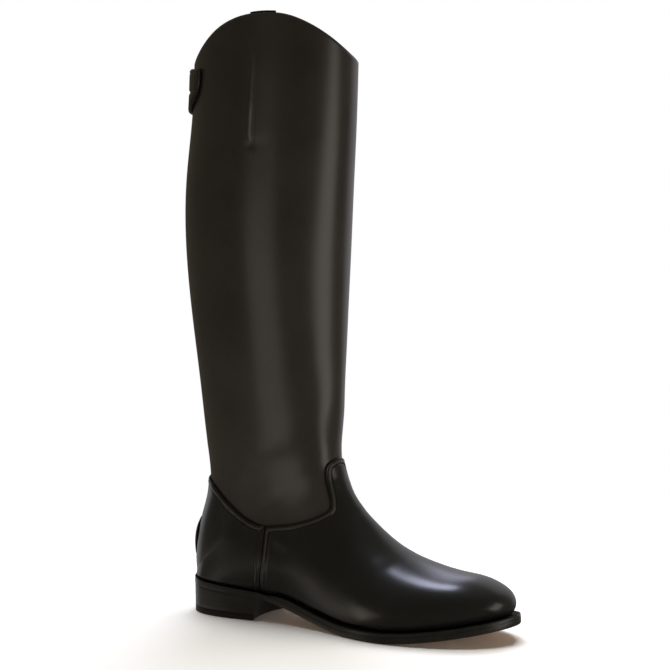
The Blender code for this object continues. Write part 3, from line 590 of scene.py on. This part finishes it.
# panels are cut flat from a pattern, refined along their edge, then lasted over the foot
panelLook = {"gap": 0.4, "thick": 1.6, "gridMm": 1.9, "spare": 3.0, "fineReach": 11.0,
             "softReach": (4, 8, 13), "softRounds": 16, "fadeLow": 40.0, "fadeHigh": 16.0, "lap": 0.15,
             "foldFade": 0.3, "innerFold": 0.6}
edgeRelief = [  # mm in from the cut edge, lift: rolled edge, stitch groove, raised band, stitch groove
    (0.0, -0.6), (0.4, -0.2), (0.9, 0.0), (1.6, -0.3), (2.4, 0.2), (3.4, 0.42), (4.3, 0.2), (5.0, -0.5),
    (5.8, -0.05), (6.8, 0.08), (9.0, 0.0), (400.0, 0.0)]
vampFolds = [  # side view x and z at both ends, width in mm, lift: folds where the tongue leaves the instep
    ((138.0, 119.0), (155.0, 95.0), 2.6, 0.5), ((143.0, 117.0), (160.0, 94.0), 3.2, -0.35),
    ((134.5, 112.0), (144.0, 101.0), 2.2, -0.35), ((93.0, 76.0), (112.0, 66.0), 5.0, 0.5),
    ((94.0, 66.0), (108.0, 60.0), 6.0, -0.4), ((186.0, 60.0), (196.0, 36.0), 6.0, 0.25),
    ((196.0, 57.0), (204.0, 34.0), 6.0, -0.25)]


allAxes = {"use_axis_x": True, "use_axis_y": True, "use_axis_z": True}


def seamField(side, line, corners):  # side-view distance to the seam, positive inside the panel
    best = np.full(len(side), 1e9)
    for a, b in zip(line[:-1], line[1:]):
        share = np.clip(((side - a) @ (b - a)) / ((b - a) @ (b - a)), 0, 1)
        best = np.minimum(best, np.linalg.norm(side - a - share[:, None] * (b - a), axis=1))
    inside = np.zeros(len(side), bool)
    for a, b in zip(corners, np.roll(corners, -1, axis=0)):
        crosses = (a[1] > side[:, 1]) != (b[1] > side[:, 1])
        rise = b[1] - a[1] if b[1] != a[1] else 1.0
        inside ^= crosses & (side[:, 0] < a[0] + (side[:, 1] - a[1]) / rise * (b[0] - a[0]))
    return np.where(inside, best, -best)


def foldLift(point, turn, folds):
    lift = np.zeros(len(point))
    side = point[:, [0, 2]]
    for start, stop, wide, high in folds:
        a, run = np.array(start), np.subtract(stop, start)
        share = ((side - a) @ run) / (run @ run)
        away = np.linalg.norm(side - a - np.clip(share, 0, 1)[:, None] * run, axis=1)
        fade = ease(share / panelLook["foldFade"] + 0.5) * ease((1 - share) / panelLook["foldFade"] + 0.5)
        lift += high * hump(away, wide) * fade * np.where(turn < 0, 1.0, panelLook["innerFold"])
    return lift


def cutPattern(bm, line, corners):  # trims the flat piece along the seam; gives each vertex's way in from it
    def fieldNow():
        bm.verts.index_update()
        station, turn = patternOf(bm)
        return seamField(lastPoint(station, turn)[:, [0, 2]], line, corners)

    field = fieldNow()
    far = [face for face in bm.faces if max(field[vert.index] for vert in face.verts) < -panelLook["spare"]]
    bmesh.ops.delete(bm, geom=far, context="FACES")
    field = fieldNow()
    close = {edge for face in bm.faces for edge in face.edges
             if min(abs(field[vert.index]) for vert in face.verts) < panelLook["fineReach"]}
    edges = [edge for edge in bm.edges if edge in close]
    bmesh.ops.subdivide_edges(bm, edges=edges, cuts=2, use_grid_fill=True)
    field = fieldNow()
    value = {vert: field[vert.index] for vert in bm.verts}
    cutVerts = []
    for edge in bm.edges[:]:
        a, b = edge.verts
        if value[a] * value[b] < 0:
            _, fresh = bmesh.utils.edge_split(edge, a, value[a] / (value[a] - value[b]))
            value[fresh] = 0.0
            cutVerts.append(fresh)
    bmesh.ops.connect_verts(bm, verts=cutVerts)
    waste = [face for face in bm.faces if min(value[vert] for vert in face.verts) < -1e-6]
    bmesh.ops.delete(bm, geom=waste, context="FACES")
    bm.verts.index_update()
    return np.array([value[vert] for vert in bm.verts])


def cutPanel(name, line, corners, rows, folds, bandsAbove, node, slotName):
    look = panelLook
    bm = bmesh.new()
    first, middle, last = [knots[row] for row in rows]
    flatGrid(bm, evenTurns(middle, look["gridMm"]), evenStations(first, last, look["gridMm"]))
    depth = cutPattern(bm, line, corners)
    station, turn = patternOf(bm)
    base = lastPoint(station, turn)
    ends = [[vert.index for vert in edge.verts] for edge in bm.edges if edge.is_boundary]
    ends = np.array([pair for pair in ends if np.abs(depth[pair]).max() < 1e-9])
    edgePoints = np.vstack([base[ends[:, 0]] * (1 - s) + base[ends[:, 1]] * s for s in np.linspace(0, 1, 5)])
    seam = distanceTo(base, edgePoints)
    relief = np.interp(seam, *np.transpose(edgeRelief)) + foldLift(base, turn, folds)
    placeVerts(bm, tucked(raisedPoint(station, turn, look["gap"] + look["thick"] + relief), station, turn))
    banded = edgePoints[edgePoints[:, 2] > bandsAbove]
    low = 1 - ease((base[:, 2] - look["fadeLow"]) / look["fadeHigh"])  # the bands fade towards the sole
    inside = (np.abs(turn) > 0.5) & (depth > look["fineReach"] + look["spare"])
    setLayer(bm, "edgeMm", seam)
    setLayer(bm, "bandMm", distanceTo(base, banded) + bandReach * low)
    setLayer(bm, "heelMm", np.where(inside, np.abs(station - rearStation), 99.0))
    bmesh.ops.remove_doubles(bm, verts=bm.verts[:], dist=0.002)
    heelMm = bm.verts.layers.float["heelMm"]
    for reach in look["softReach"]:  # rounds the heel's corner without drawing it in
        soft = [vert for vert in bm.verts if vert[heelMm] < reach and not vert.is_boundary]
        for factor in (0.55, -0.57) * look["softRounds"]:
            bmesh.ops.smooth_vert(bm, verts=soft, factor=factor, **allAxes)
    tree = BVHTree.FromBMesh(bm)
    chain = cutChain(bm, layerOf(bm, "edgeMm"))
    finishPiece(name, bm, [footCalf], node, layerOf(bm, "bandMm"), shell=look["thick"])
    return tree, chain


def cutChain(bm, seam):  # the cut edge as one ordered run of places and inward directions
    bm.verts.index_update()
    following = {}
    for edge in bm.edges:
        if edge.is_boundary and all(seam[vert.index] < 0.02 for vert in edge.verts):
            inward = edge.link_faces[0].calc_center_median()
            for vert in edge.verts:
                following.setdefault(vert, []).append((edge.other_vert(vert), inward))
    start = min((vert for vert, links in following.items() if len(links) == 1), key=lambda vert: vert.co.y)
    chain, seen = [], set()
    while start is not None:
        seen.add(start)
        links = following[start]
        chain.append((start.co.copy(), links[-1][1].copy()))
        start = next((other for other, _ in links if other not in seen), None)
    return chain


def panelLines():
    seam = smoothChain(sideSeam, 12)
    top = smoothChain(vampTop, 60)
    heelTop = smoothChain(counterTop, 34)
    beyond, lap = 60.0, (panelLook["lap"], 0.0)
    far = soleSizes["length"] + beyond
    past = (top[-1][0] + beyond, top[-1][1] + beyond / 4)
    vampLine = np.vstack([seam + lap, top[1:], [past]])
    vampCorners = np.vstack([vampLine, [(far, top[-1][1]), (far, seam[0][1])]])
    counterLine = np.vstack([seam - lap, heelTop[1:], [(-beyond, heelTop[-1][1])]])
    counterCorners = np.vstack([counterLine, [(-beyond, seam[0][1])]])
    return (vampLine, vampCorners), (counterLine, counterCorners)


vampCut, counterCut = panelLines()
vampTree, vampChain = cutPanel("vamp_panel", *vampCut, (0, 7, 14), vampFolds, 0.0, "vamp", "vamp_leather")
counterTree, counterChain = cutPanel("counter_panel", *counterCut, (8, 11, 17), [], 82.6, "counter",
                                     "counter_leather")

# lock stitches: small waxed beads lying along the grooves
stitchLook = {"spacing": 2.9, "long": 2.3, "wide": 0.75, "high": 0.5, "slant": 7.0, "insets": (1.7, 4.9),
              "clear": 0.85, "widestGap": 3.0, "counterLow": 79.0, "counterFront": 86.0}


def addStitch(bm, place, along, normal, look):
    side = normal.cross(along).normalized()
    along = side.cross(normal).normalized()
    turn = Matrix((along, side, normal)).transposed().to_4x4()
    size = Matrix.Diagonal((look["long"] / 2, look["wide"] / 2, look["high"] / 2, 1.0))
    slant = Matrix.Rotation(math.radians(stitchLook["slant"]), 4, "Z")
    bmesh.ops.create_uvsphere(bm, u_segments=6, v_segments=5, radius=1.0,
                              matrix=Matrix.Translation(place) @ turn @ slant @ size)


def stitchAlong(bm, tree, chain, inset, look, keep=lambda place: True):
    row, edge = [], np.array([place for place, _ in chain])
    smooth = np.array([edge[max(i - 6, 0):i + 7].mean(axis=0) for i in range(len(edge))])
    for i, (place, inner) in enumerate(chain):
        along = Vector(smooth[min(i + 3, len(edge) - 1)] - smooth[max(i - 3, 0)]).normalized()
        _, normal, _, _ = tree.find_nearest(place)
        inward = normal.cross(along)
        if inward.dot(inner - place) < 0:
            inward = -inward
        spot, normal, _, _ = tree.find_nearest(place + inward * inset)
        if np.linalg.norm(edge - np.array(spot), axis=1).min() > inset * look["clear"]:
            row.append((spot, normal))
    run = chainLengths([spot for spot, _ in row])
    count = int(run[-1] / look["spacing"])
    for at in np.linspace(0.5, count - 0.5, count) * run[-1] / count:
        i = int(np.clip(np.searchsorted(run, at), 1, len(row) - 1))
        share = (at - run[i - 1]) / max(run[i] - run[i - 1], 1e-6)
        place = row[i - 1][0].lerp(row[i][0], share)
        if run[i] - run[i - 1] < look["widestGap"] and keep(place):
            along = row[min(i + 2, len(row) - 1)][0] - row[max(i - 3, 0)][0]
            addStitch(bm, place, along.normalized(), row[i][1], look)


def onCounterTop(place):  # the vamp's rows close the side seam
    return place.z > stitchLook["counterLow"] and place.x < stitchLook["counterFront"]


bm = bmesh.new()
for inset in stitchLook["insets"]:
    stitchAlong(bm, vampTree, vampChain, inset, stitchLook)
    stitchAlong(bm, counterTree, counterChain, inset, stitchLook, onCounterTop)
finishPiece("panel_stitches", bm, [waxedThread], None)


def startPad(look):  # wide runs -1 to 1 across the pad, drop 0 to 1 down it
    bm = bmesh.new()
    made = bmesh.ops.create_grid(bm, x_segments=look["columns"] - 1, y_segments=look["rows"] - 1, size=1.0)
    flat = np.array([vert.co[:2] for vert in made["verts"]])
    return bm, flat[:, 0], (1 - flat[:, 1]) / 2


# a pad's top, closed by a floor below it
def finishPad(name, bm, station, turn, gap, lift, material, node):
    tops = bm.verts[:]
    placeVerts(bm, raisedPoint(station, turn, gap + lift))
    copy = bmesh.ops.duplicate(bm, geom=tops + bm.edges[:] + bm.faces[:])
    for vert, low in zip(tops, raisedPoint(station, turn, gap)):
        copy["vert_map"][vert].co = low
    bmesh.ops.reverse_faces(bm, faces=[item for item in copy["geom"] if isinstance(item, bmesh.types.BMFace)])
    bmesh.ops.bridge_loops(bm, edges=[edge for edge in bm.edges if edge.is_boundary])
    bmesh.ops.recalc_face_normals(bm, faces=bm.faces[:])
    return finishPiece(name, bm, [material], node, farSeam)


# half-moon pad at the top of the back seam, with a sewn groove across its middle
tabLook = {"top": 460.0, "bottom": 421.5, "tall": 38.0, "girth": 380.0, "reach": 0.155, "blunt": 0.03,
           "straight": 0.2, "round": 2.2, "gap": 0.65, "thick": 3.2, "rimShare": 0.42, "rimMm": 3.2,
           "sewnDeep": 0.45, "sewnIn": 3.6, "sewnWide": 0.8, "groove": 0.5, "grooveDeep": 1.0,
           "grooveWide": 1.3, "rows": 61, "columns": 121}


def tabReach(drop):
    look = tabLook
    below = np.maximum(drop - look["straight"], 0.0) / (1 - look["straight"])
    return np.maximum(look["reach"] * np.sqrt(np.maximum(1 - below ** look["round"], 0)), look["blunt"])


def buildTab():
    look = tabLook
    bm, wide, drop = startPad(look)
    reach = tabReach(drop)
    turn = 1 + 2 * reach * wide
    station = heightStation(look["top"] + (look["bottom"] - look["top"]) * drop, turn)
    edgeMm = np.minimum.reduce([(1 - np.abs(wide)) * reach * look["girth"], drop * look["tall"] + 0.2,
                                (1 - drop) * look["tall"] + 0.2])
    crown = np.sqrt(1 - (1 - np.clip(edgeMm / look["rimMm"], 0, 1)) ** 2)
    lift = look["thick"] * (look["rimShare"] + (1 - look["rimShare"]) * crown)
    lift -= look["sewnDeep"] * hump(edgeMm - look["sewnIn"], look["sewnWide"])
    across = hump((drop - look["groove"]) * look["tall"], look["grooveWide"])
    lift -= look["grooveDeep"] * across * np.clip(edgeMm / 1.5, 0, 1)
    pad = finishPad("back_tab_pad", bm, station, turn, look["gap"], lift, tabCalf, "back_tab")


buildTab()

# spur rest: a skived crescent on the back of the counter
restLook = {"top": 78.0, "bottom": 46.0, "reach": 0.085, "blunt": 0.45, "rim": 0.1, "lean": 0.75,
            "thick": 3.0, "gap": 2.3, "rows": 41, "columns": 61}


def dome(share, rim):
    return np.sin(math.pi * (rim + (1 - 2 * rim) * share))


def buildRest():
    look = restLook
    bm, wide, drop = startPad(look)
    fine = np.linspace(rearStation, endStation, 900)
    start, stop = np.interp((look["top"], look["bottom"]), sectionAt(fine)[3], fine)
    station = start + (stop - start) * drop
    reach = look["reach"] * (look["blunt"] + (1 - look["blunt"]) * dome(drop, look["rim"]))
    turn = 1 + 2 * reach * wide
    rise = dome(drop ** look["lean"], look["rim"]) * dome((wide + 1) / 2, look["rim"])
    # the crescent is coloured near black: painted shade for a hollow
    finishPad("spur_rest_pad", bm, station, turn, look["gap"], look["thick"] * rise, restCalf, "spur_rest")


buildRest()

# pull strap: two layers of webbing folded over at the top and sewn flat inside the collar
strapLook = {"back": -81.0, "front": -63.0, "bottom": 399.0, "stand": 1.6, "gap": 0.6, "thick": 3.0,
             "rows": 60, "columns": 14}
# cotton webbing, dull and near black; its ribs read a UV map that the grid lacks, so they don't show
webbing, webTree, webShader = startMaterial("cotton_webbing_woven", Roughness=0.85)
webPlace = addNode(webTree, "TexCoord").outputs["UV"]
webRibs = addNode(webTree, "TexWave", {"Vector": webPlace, "Scale": 12.0, "Distortion": 1.5},
                  wave_type="BANDS", bands_direction="DIAGONAL").outputs["Fac"]
webTone = addNode(webTree, "ValToRGB", {"Fac": webRibs})
setRamp(webTone, [(0.2, linear("#0f0e0c")), (0.8, linear("#26221d"))])
webBump = addNode(webTree, "Bump", {"Height": webRibs, "Distance": 0.0003})
setInputs(webTree, webShader, {"Base Color": webTone.outputs["Color"], "Normal": webBump.outputs["Normal"]})


def buildStrap():
    look = strapLook
    bm = bmesh.new()
    made = bmesh.ops.create_grid(bm, x_segments=look["columns"] - 1, y_segments=look["rows"] - 1, size=1.0,
                                 calc_uvs=True)
    wide, rise = [(np.array([vert.co[i] for vert in made["verts"]]) + 1) / 2 for i in (0, 1)]
    turn = (look["back"] + (look["front"] - look["back"]) * wide) / 180
    start = heightStation(np.full_like(turn, look["bottom"]), turn)
    station = start + (endStation + look["stand"] - start) * rise
    placeVerts(bm, raisedPoint(station, turn, -lastSizes["wall"] - look["gap"]))
    finishPiece("pull_strap_loop", bm, [webbing], "pull_strap", shell=look["thick"])


buildStrap()


def spanOf(chain, shares):
    outer, inner = chainSides(chain)
    x = chain[:, 0].min() + shares * np.ptp(chain[:, 0])
    ends = (shares <= 0) | (shares >= 1)
    a, b = np.interp(x, outer[:, 0], outer[:, 1]), np.interp(x, inner[:, 0], inner[:, 1])
    return x, np.where(ends, (a + b) / 2, a), np.where(ends, (a + b) / 2, b)


def loftBody(columns):  # a closed body from runs of points side by side
    bm = bmesh.new()
    gridOf(bm, np.stack(columns, axis=1))
    bmesh.ops.remove_doubles(bm, verts=bm.verts[:], dist=0.001)
    bmesh.ops.holes_fill(bm, edges=[edge for edge in bm.edges if edge.is_boundary])
    bmesh.ops.recalc_face_normals(bm, faces=bm.faces[:])
    return bm


def plankBody(rings, rows):
    shares = (1 - np.cos(np.linspace(0.0, math.pi, rows))) / 2
    columns = []
    for inset, height in rings + rings[::-1]:
        x, outer, inner = spanOf(insetChain(soleEdge, inset), shares)
        firstHalf = len(columns) < len(rings)
        columns.append(np.column_stack([x, outer if firstHalf else inner, height(x)]))
    return loftBody([*columns, columns[0]])


def lifted(offset):
    return lambda x: treadHeight(x) + offset


# one bend of leather from toe to heel; its edge is set smooth and inked, its underside left bare
outsoleLook = {"insets": (24.0, 14.0, 9.0, 6.5, 4.5, 3.0, 2.0), "round": 1.2, "heelRound": 0.08,
               "topRound": 0.2, "topInset": 8.0, "bareFrom": 70.0, "roundFrom": 72.0, "roundIn": 14.0,
               "rows": 260}
flatSlope = 0.75  # faces that look up or down more than this count as flat


def edgeRound(x):  # hardly any round where the heel carries on below
    look = outsoleLook
    least = look["heelRound"]
    return look["round"] * (least + (1 - least) * ease((x - look["roundFrom"]) / look["roundIn"]))


def buildOutsole():
    look, thick = outsoleLook, soleSizes["thick"]
    corner = [(math.sin(a), math.cos(a)) for a in np.linspace(0, math.pi / 2, 5)]
    rings = [(inset, lifted(0.0)) for inset in look["insets"]]
    rings += [(edgeRound(soleEdge[:, 0]) * (1 - s), lambda x, c=c: treadHeight(x) + edgeRound(x) * (1 - c))
              for s, c in corner]
    rings += [(look["topRound"] * (1 - c), lifted(thick - look["topRound"] * (1 - s))) for s, c in corner]
    bm = plankBody([*rings, (look["topInset"], lifted(thick))], look["rows"])
    for face in bm.faces:
        bare = face.normal.z < -flatSlope and face.calc_center_median().x > look["bareFrom"]
        # top faces under the upper take the near-black painted shade
        face.material_index = 1 if bare else 2 if face.normal.z > flatSlope else 0
    away = distanceTo(np.array([vert.co[:2] for vert in bm.verts]), soleEdge)
    finishPiece("outsole_bend", bm, [inkedEdge, oakBend, shadeBlack], "outsole", away, sharp=50)


buildOutsole()

# sock over the insole board
insoleLook = {"clear": 3.6, "rise": 2.0, "profile": [(0.0, 0.6), (0.5, 0.1), (1.2, 0.0), (8.0, 0.0)],
              "rows": 120}


def buildInsole():
    look = insoleLook
    board = featherMargin + look["clear"]
    rings = [(board, lambda x: treadHeight(x) + soleSizes["thick"] + lastSizes["gap"])]
    rings += [(board + inset, lambda x, drop=drop: featherHeight(x) + look["rise"] - drop)
              for inset, drop in look["profile"]]
    bm = plankBody(rings, look["rows"])
    for face in bm.faces:
        # the board's sides take the near-black painted shade of the gap above the welt
        face.material_index = 0 if face.normal.z > 0.5 else 1
    finishPiece("insole_sock", bm, [liningCalf, shadeBlack], "insole", farSeam, sharp=50)


buildInsole()

# welt: a strip with a rounded edge, sewn to the outsole with a coarse row
weltLook = {"setback": 0.25, "cut": 8.0, "rows": 420, "base": 0.02, "press": 0.28, "stitchIn": 3.4,
            "spacing": 4.2, "long": 3.2, "wide": 1.0, "high": 0.8, "stitchFrom": 112.0, "stitchLift": 0.35,
            "stitchSink": 0.97}
# way in from the edge in mm, share of the height; the last two lie under the upper
weltProfile = [(0.0, 0.0), (0.0, 0.55), (0.12, 0.78), (0.4, 0.93), (0.9, 1.0), (2.4, 1.0), (3.1, 0.94),
               (3.6, 0.94), (4.3, 1.0), (None, 1.0), (None, 0.0)]


def frontRun(chain, count):
    outer, inner = chainSides(chain)
    run = np.vstack([outer, inner[::-1][1:]])
    run = run[run[:, 0] > soleSizes["weltStart"] + weltLook["cut"]]
    at = chainLengths(run)
    return np.column_stack([np.interp(np.linspace(0, at[-1], count), at, run[:, i]) for i in (0, 1)])


def buildWelt():
    look = weltLook
    columns = []
    for inset, rise in weltProfile:
        inward = featherMargin + lastSizes["wall"] if inset is None else look["setback"] + inset
        run = frontRun(insetChain(soleEdge, inward), look["rows"])
        thick = np.maximum(weltThick(run[:, 0]), lastSizes["gap"])
        height = treadHeight(run[:, 0]) + soleSizes["thick"] + look["base"] + rise * (thick + look["press"])
        columns.append(np.column_stack([run, height]))
    bm = loftBody([*columns, columns[0]])
    for face in bm.faces:
        # the welt's top takes the near-black painted shade of the groove under the upper
        face.material_index = 1 if face.normal.z > flatSlope else 0
    finishPiece("welt_strip", bm, [inkedEdge, shadeBlack], "welt", farSeam, sharp=50)
    stitches = bmesh.new()
    run = frontRun(insetChain(soleEdge, look["setback"] + look["stitchIn"]), 2000)
    run = run[run[:, 0] > look["stitchFrom"]]
    at = chainLengths(run)
    top = treadHeight(run[:, 0]) + soleSizes["thick"] + look["stitchLift"]
    path = np.column_stack([run, top + weltThick(run[:, 0]) * look["stitchSink"]])
    count = int(at[-1] / look["spacing"])
    for distance in (np.arange(count) + 0.5) * at[-1] / count:
        i = int(np.clip(np.searchsorted(at, distance), 2, len(path) - 3))
        along = Vector(path[i + 2] - path[i - 2]).normalized()
        addStitch(stitches, Vector(path[i]), along, Vector((0, 0, 1)), look)
    finishPiece("welt_stitches", stitches, [waxedThread], None)


buildWelt()

# heel: leather lifts built up and trimmed flush, over a rubber top lift
heelLook = {"setback": 0.1, "taper": 0.4, "slant": 5.0, "hollow": 6.0, "topLift": 5.5, "lifts": 4,
            "lineDeep": 0.03, "lineWide": 0.03, "round": 0.5, "gap": 0.02}


def heelLoop(drop, inset):
    look = heelLook
    chain = insetChain(soleEdge, look["setback"] + look["taper"] * drop + inset)
    front = soleSizes["heelLength"] - look["slant"] * drop - inset
    x = chain[:, 0].min() + np.sin(np.linspace(0.0, math.pi / 2, 60)) ** 2 * (front - chain[:, 0].min())
    outer, inner = [np.column_stack([x, np.interp(x, side[:, 0], side[:, 1])]) for side in chainSides(chain)]
    inner[0] = outer[0]
    y = np.linspace(inner[-1, 1], outer[-1, 1], 31)[1:-1]
    middle, half = (inner[-1, 1] + outer[-1, 1]) / 2, (inner[-1, 1] - outer[-1, 1]) / 2
    breast = np.column_stack([front - look["hollow"] * (1 - ((y - middle) / half) ** 2), y])
    loop = np.vstack([outer[::-1], inner[1:], breast])
    return np.vstack([loop, loop[:1]])


def stackPiece(name, levels, material, node):
    columns = []
    for drop, inset, height in levels:
        loop = heelLoop(drop, inset)
        columns.append(np.column_stack([loop, height(loop[:, 0])]))
    bm = loftBody(columns)
    for face in bm.faces:
        isBreast = face.normal.x > 0.5 and face.calc_center_median().x > soleSizes["heelLength"] / 2
        # the breast, under the arch, takes the near-black painted shade
        face.material_index = 1 if isBreast else 0
    finishPiece(name, bm, [material, shadeBlack], node, farSeam, sharp=50)


def buildHeel():
    look = heelLook
    liftDrop = 1 - look["topLift"] / soleSizes["heelBack"]

    def between(share):  # from the outsole down to the top lift
        low = look["topLift"] + look["gap"]
        return lambda x: (treadHeight(x) - look["gap"]) * (1 - share) + low * share

    def level(height):
        return lambda x: np.full_like(x, height)

    levels = [(0.0, 0.1, between(0.0)), (0.01, 0.0, between(0.02))]
    for line in range(1, look["lifts"]):
        share = line / look["lifts"]
        for step, deep in ((-look["lineWide"], 0.0), (0.0, look["lineDeep"]), (look["lineWide"], 0.0)):
            levels.append((liftDrop * (share + step), deep, between(share + step)))
    levels += [(liftDrop, 0.0, between(0.98)), (liftDrop, 0.1, between(1.0))]
    stackPiece("heel_block", levels, inkedEdge, "heel_stack")
    r = look["round"]
    lift = [(liftDrop, 0.1, level(look["topLift"])), (liftDrop, 0.0, level(look["topLift"] - 0.2)),
            (1.0, 0.0, level(r)), (1.0, 0.3 * r, level(0.3 * r)), (1.0, r, level(0.0))]
    stackPiece("heel_top_lift", lift, liftRubber, "top_lift")


buildHeel()

# camera at the photo's place, 1.8 m off
cameraLook = {"from": (0.8624, -1.5555, 0.4036), "to": (-0.0184, 0.0058, 0.2403), "lens": 116.41}
lens = bpy.data.cameras.new("camera")
lens.lens = cameraLook["lens"]
lens.sensor_width = 36.0
camera = bpy.data.objects.new("camera", lens)
camera.location = cameraLook["from"]
cameraWay = Vector(cameraLook["to"]) - Vector(cameraLook["from"])
camera.rotation_euler = cameraWay.to_track_quat("-Z", "Y").to_euler()
bpy.context.collection.objects.link(camera)
bpy.context.scene.camera = camera

# pale round floor; light from below its level still reaches the boot
floorLook = {"radius": 0.45, "segments": 96, "below": 0.0002, "shade": "#f4f2ee", "glow": 0.03,
             "rimGlow": 1.05, "rim": (0.24, 0.42)}
bm = bmesh.new()
bmesh.ops.create_circle(bm, cap_ends=True, segments=floorLook["segments"], radius=floorLook["radius"])
bmesh.ops.translate(bm, verts=bm.verts[:], vec=(0.0, 0.0, -floorLook["below"]))
floorMesh = bpy.data.meshes.new("floor")
bm.to_mesh(floorMesh)
bm.free()
floorMaterial, floorTree, floorShader = startMaterial("white_card_matt", Roughness=0.9)
floorPlace = addNode(floorTree, "TexCoord").outputs["Object"]
floorReach = addNode(floorTree, "VectorMath", {0: floorPlace}, operation="LENGTH").outputs["Value"]
floorFade = dict(zip(("From Min", "From Max"), floorLook["rim"]), Value=floorReach)
# the card runs out into the white behind it
floorRim = addNode(floorTree, "MapRange", floorFade).outputs["Result"]
floorTone = mixColour(floorTree, floorRim, linear(floorLook["shade"]), (0, 0, 0, 1))
floorGlow = addNode(floorTree, "MapRange", {**floorFade, "To Min": floorLook["glow"],
                                            "To Max": floorLook["rimGlow"]})
setInputs(floorTree, floorShader, {"Base Color": floorTone, "Emission Color": (1, 1, 1, 1),
                                   "Emission Strength": floorGlow.outputs["Result"]})
floorMesh.materials.append(floorMaterial)
floor = bpy.data.objects.new("floor", floorMesh)
floor.visible_glossy = False
floor.visible_shadow = False
bpy.context.collection.objects.link(floor)

# soft boxes round the boot: azimuth (0 is the camera's side), distance, height, height aimed at, size, roll,
# level, colour
lightLook = [
    ("front_box", -25.0, 1.5, -0.22, -0.22, (0.92, 1.12), 0.0, 0.56, "#fff4e8"),
    ("strip_box", 69.0, 1.2, 0.1, 0.1, (0.5, 1.0), -45.0, 1.25, "#fff8f0"),
    ("back_high", 187.0, 0.59, 1.208, 0.05, (0.24, 0.4), -20.0, 10.0, "#e0e4ff"),
    ("back_low", 174.0, 1.065, 0.796, 0.05, (0.2, 0.6), -20.0, 1.4, "#e0e4ff"),
    ("backdrop", 153.0, 1.6, 0.55, 0.4, (1.5, 1.6), 0.0, 0.32, "#f4f4ff"),
    ("side_card", -95.0, 1.2, -0.43, -0.1, (1.1, 0.24), 0.0, 0.4, "#fff4e8"),
    ("left_drop", -140.0, 1.6, 0.1, 0.05, (0.8, 1.2), 0.0, 0.4, "#f4f4ff"),
    ("fill_box", 180.0, 0.36, 1.35, 0.0, (1.3, 1.3), 0.0, 4.9, "#ffffff"),
]
# the front box is flagged off the foot, so that it stays dark, and two cards are kept off the leg
legParts = ("leg_wall", "back_tab_pad", "pull_strap_loop")
legOnly, footOnly = [bpy.data.collections.new(name) for name in ("leg_only", "foot_only")]
for piece in [*pieces, floor]:
    (legOnly if piece.name in legParts else footOnly).objects.link(piece)
flagged = {"front_box": legOnly, "side_card": footOnly, "left_drop": footOnly}
cameraTurn = math.atan2(-cameraWay.y, -cameraWay.x)


def addLight(name, place, rotation, size, level, tint):
    lamp = bpy.data.lights.new(name, "AREA")
    lamp.shape, lamp.size, lamp.size_y = "RECTANGLE", *size
    lamp.energy = 4 * level * size[0] * size[1]
    lamp.color = linear(tint)[:3]
    box = bpy.data.objects.new(name, lamp)
    box.location = place
    box.rotation_euler = rotation
    box.visible_camera = False
    bpy.context.collection.objects.link(box)
    return box


for name, azimuth, away, height, aim, size, roll, level, tint in lightLook:
    turn = cameraTurn + math.radians(azimuth)
    place = Vector((away * math.cos(turn), away * math.sin(turn), height))
    facing = (Vector((0.0, 0.0, aim)) - place).to_track_quat("-Z", "Y")
    facing = facing @ Quaternion((0, 0, 1), math.radians(roll))
    box = addLight(name, place, facing.to_euler(), size, level, tint)
    box.visible_glossy = name != "fill_box"
    if name in flagged:
        box.light_linking.receiver_collection = flagged[name]
# light thrown back up by the paper in front of the boot
bounceLook = {"place": (-0.0337, -0.107, 0.002), "turn": 25.8, "size": (0.125, 0.045), "level": 0.6,
              "tint": "#fff4e4"}
bounce = addLight("paper_bounce", bounceLook["place"], (math.pi, 0.0, math.radians(bounceLook["turn"])),
                  bounceLook["size"], bounceLook["level"], bounceLook["tint"])
bounce.visible_diffuse = False

# dim warm room for the reflections, white paper behind for the camera
world = bpy.data.worlds.new("studio")
bpy.context.scene.world = world
world.use_nodes = True
tree = world.node_tree
tree.nodes.clear()
path = addNode(tree, "LightPath").outputs["Is Camera Ray"]
room = addNode(tree, "Background", {"Color": linear("#ffefd1"), "Strength": 0.1})
paper = addNode(tree, "Background", {"Color": (1, 1, 1, 1), "Strength": 1.0})
mix = addNode(tree, "MixShader", {0: path, 1: room.outputs[0], 2: paper.outputs[0]})
addNode(tree, "OutputWorld", {"Surface": mix.outputs[0]})
print("studio set")
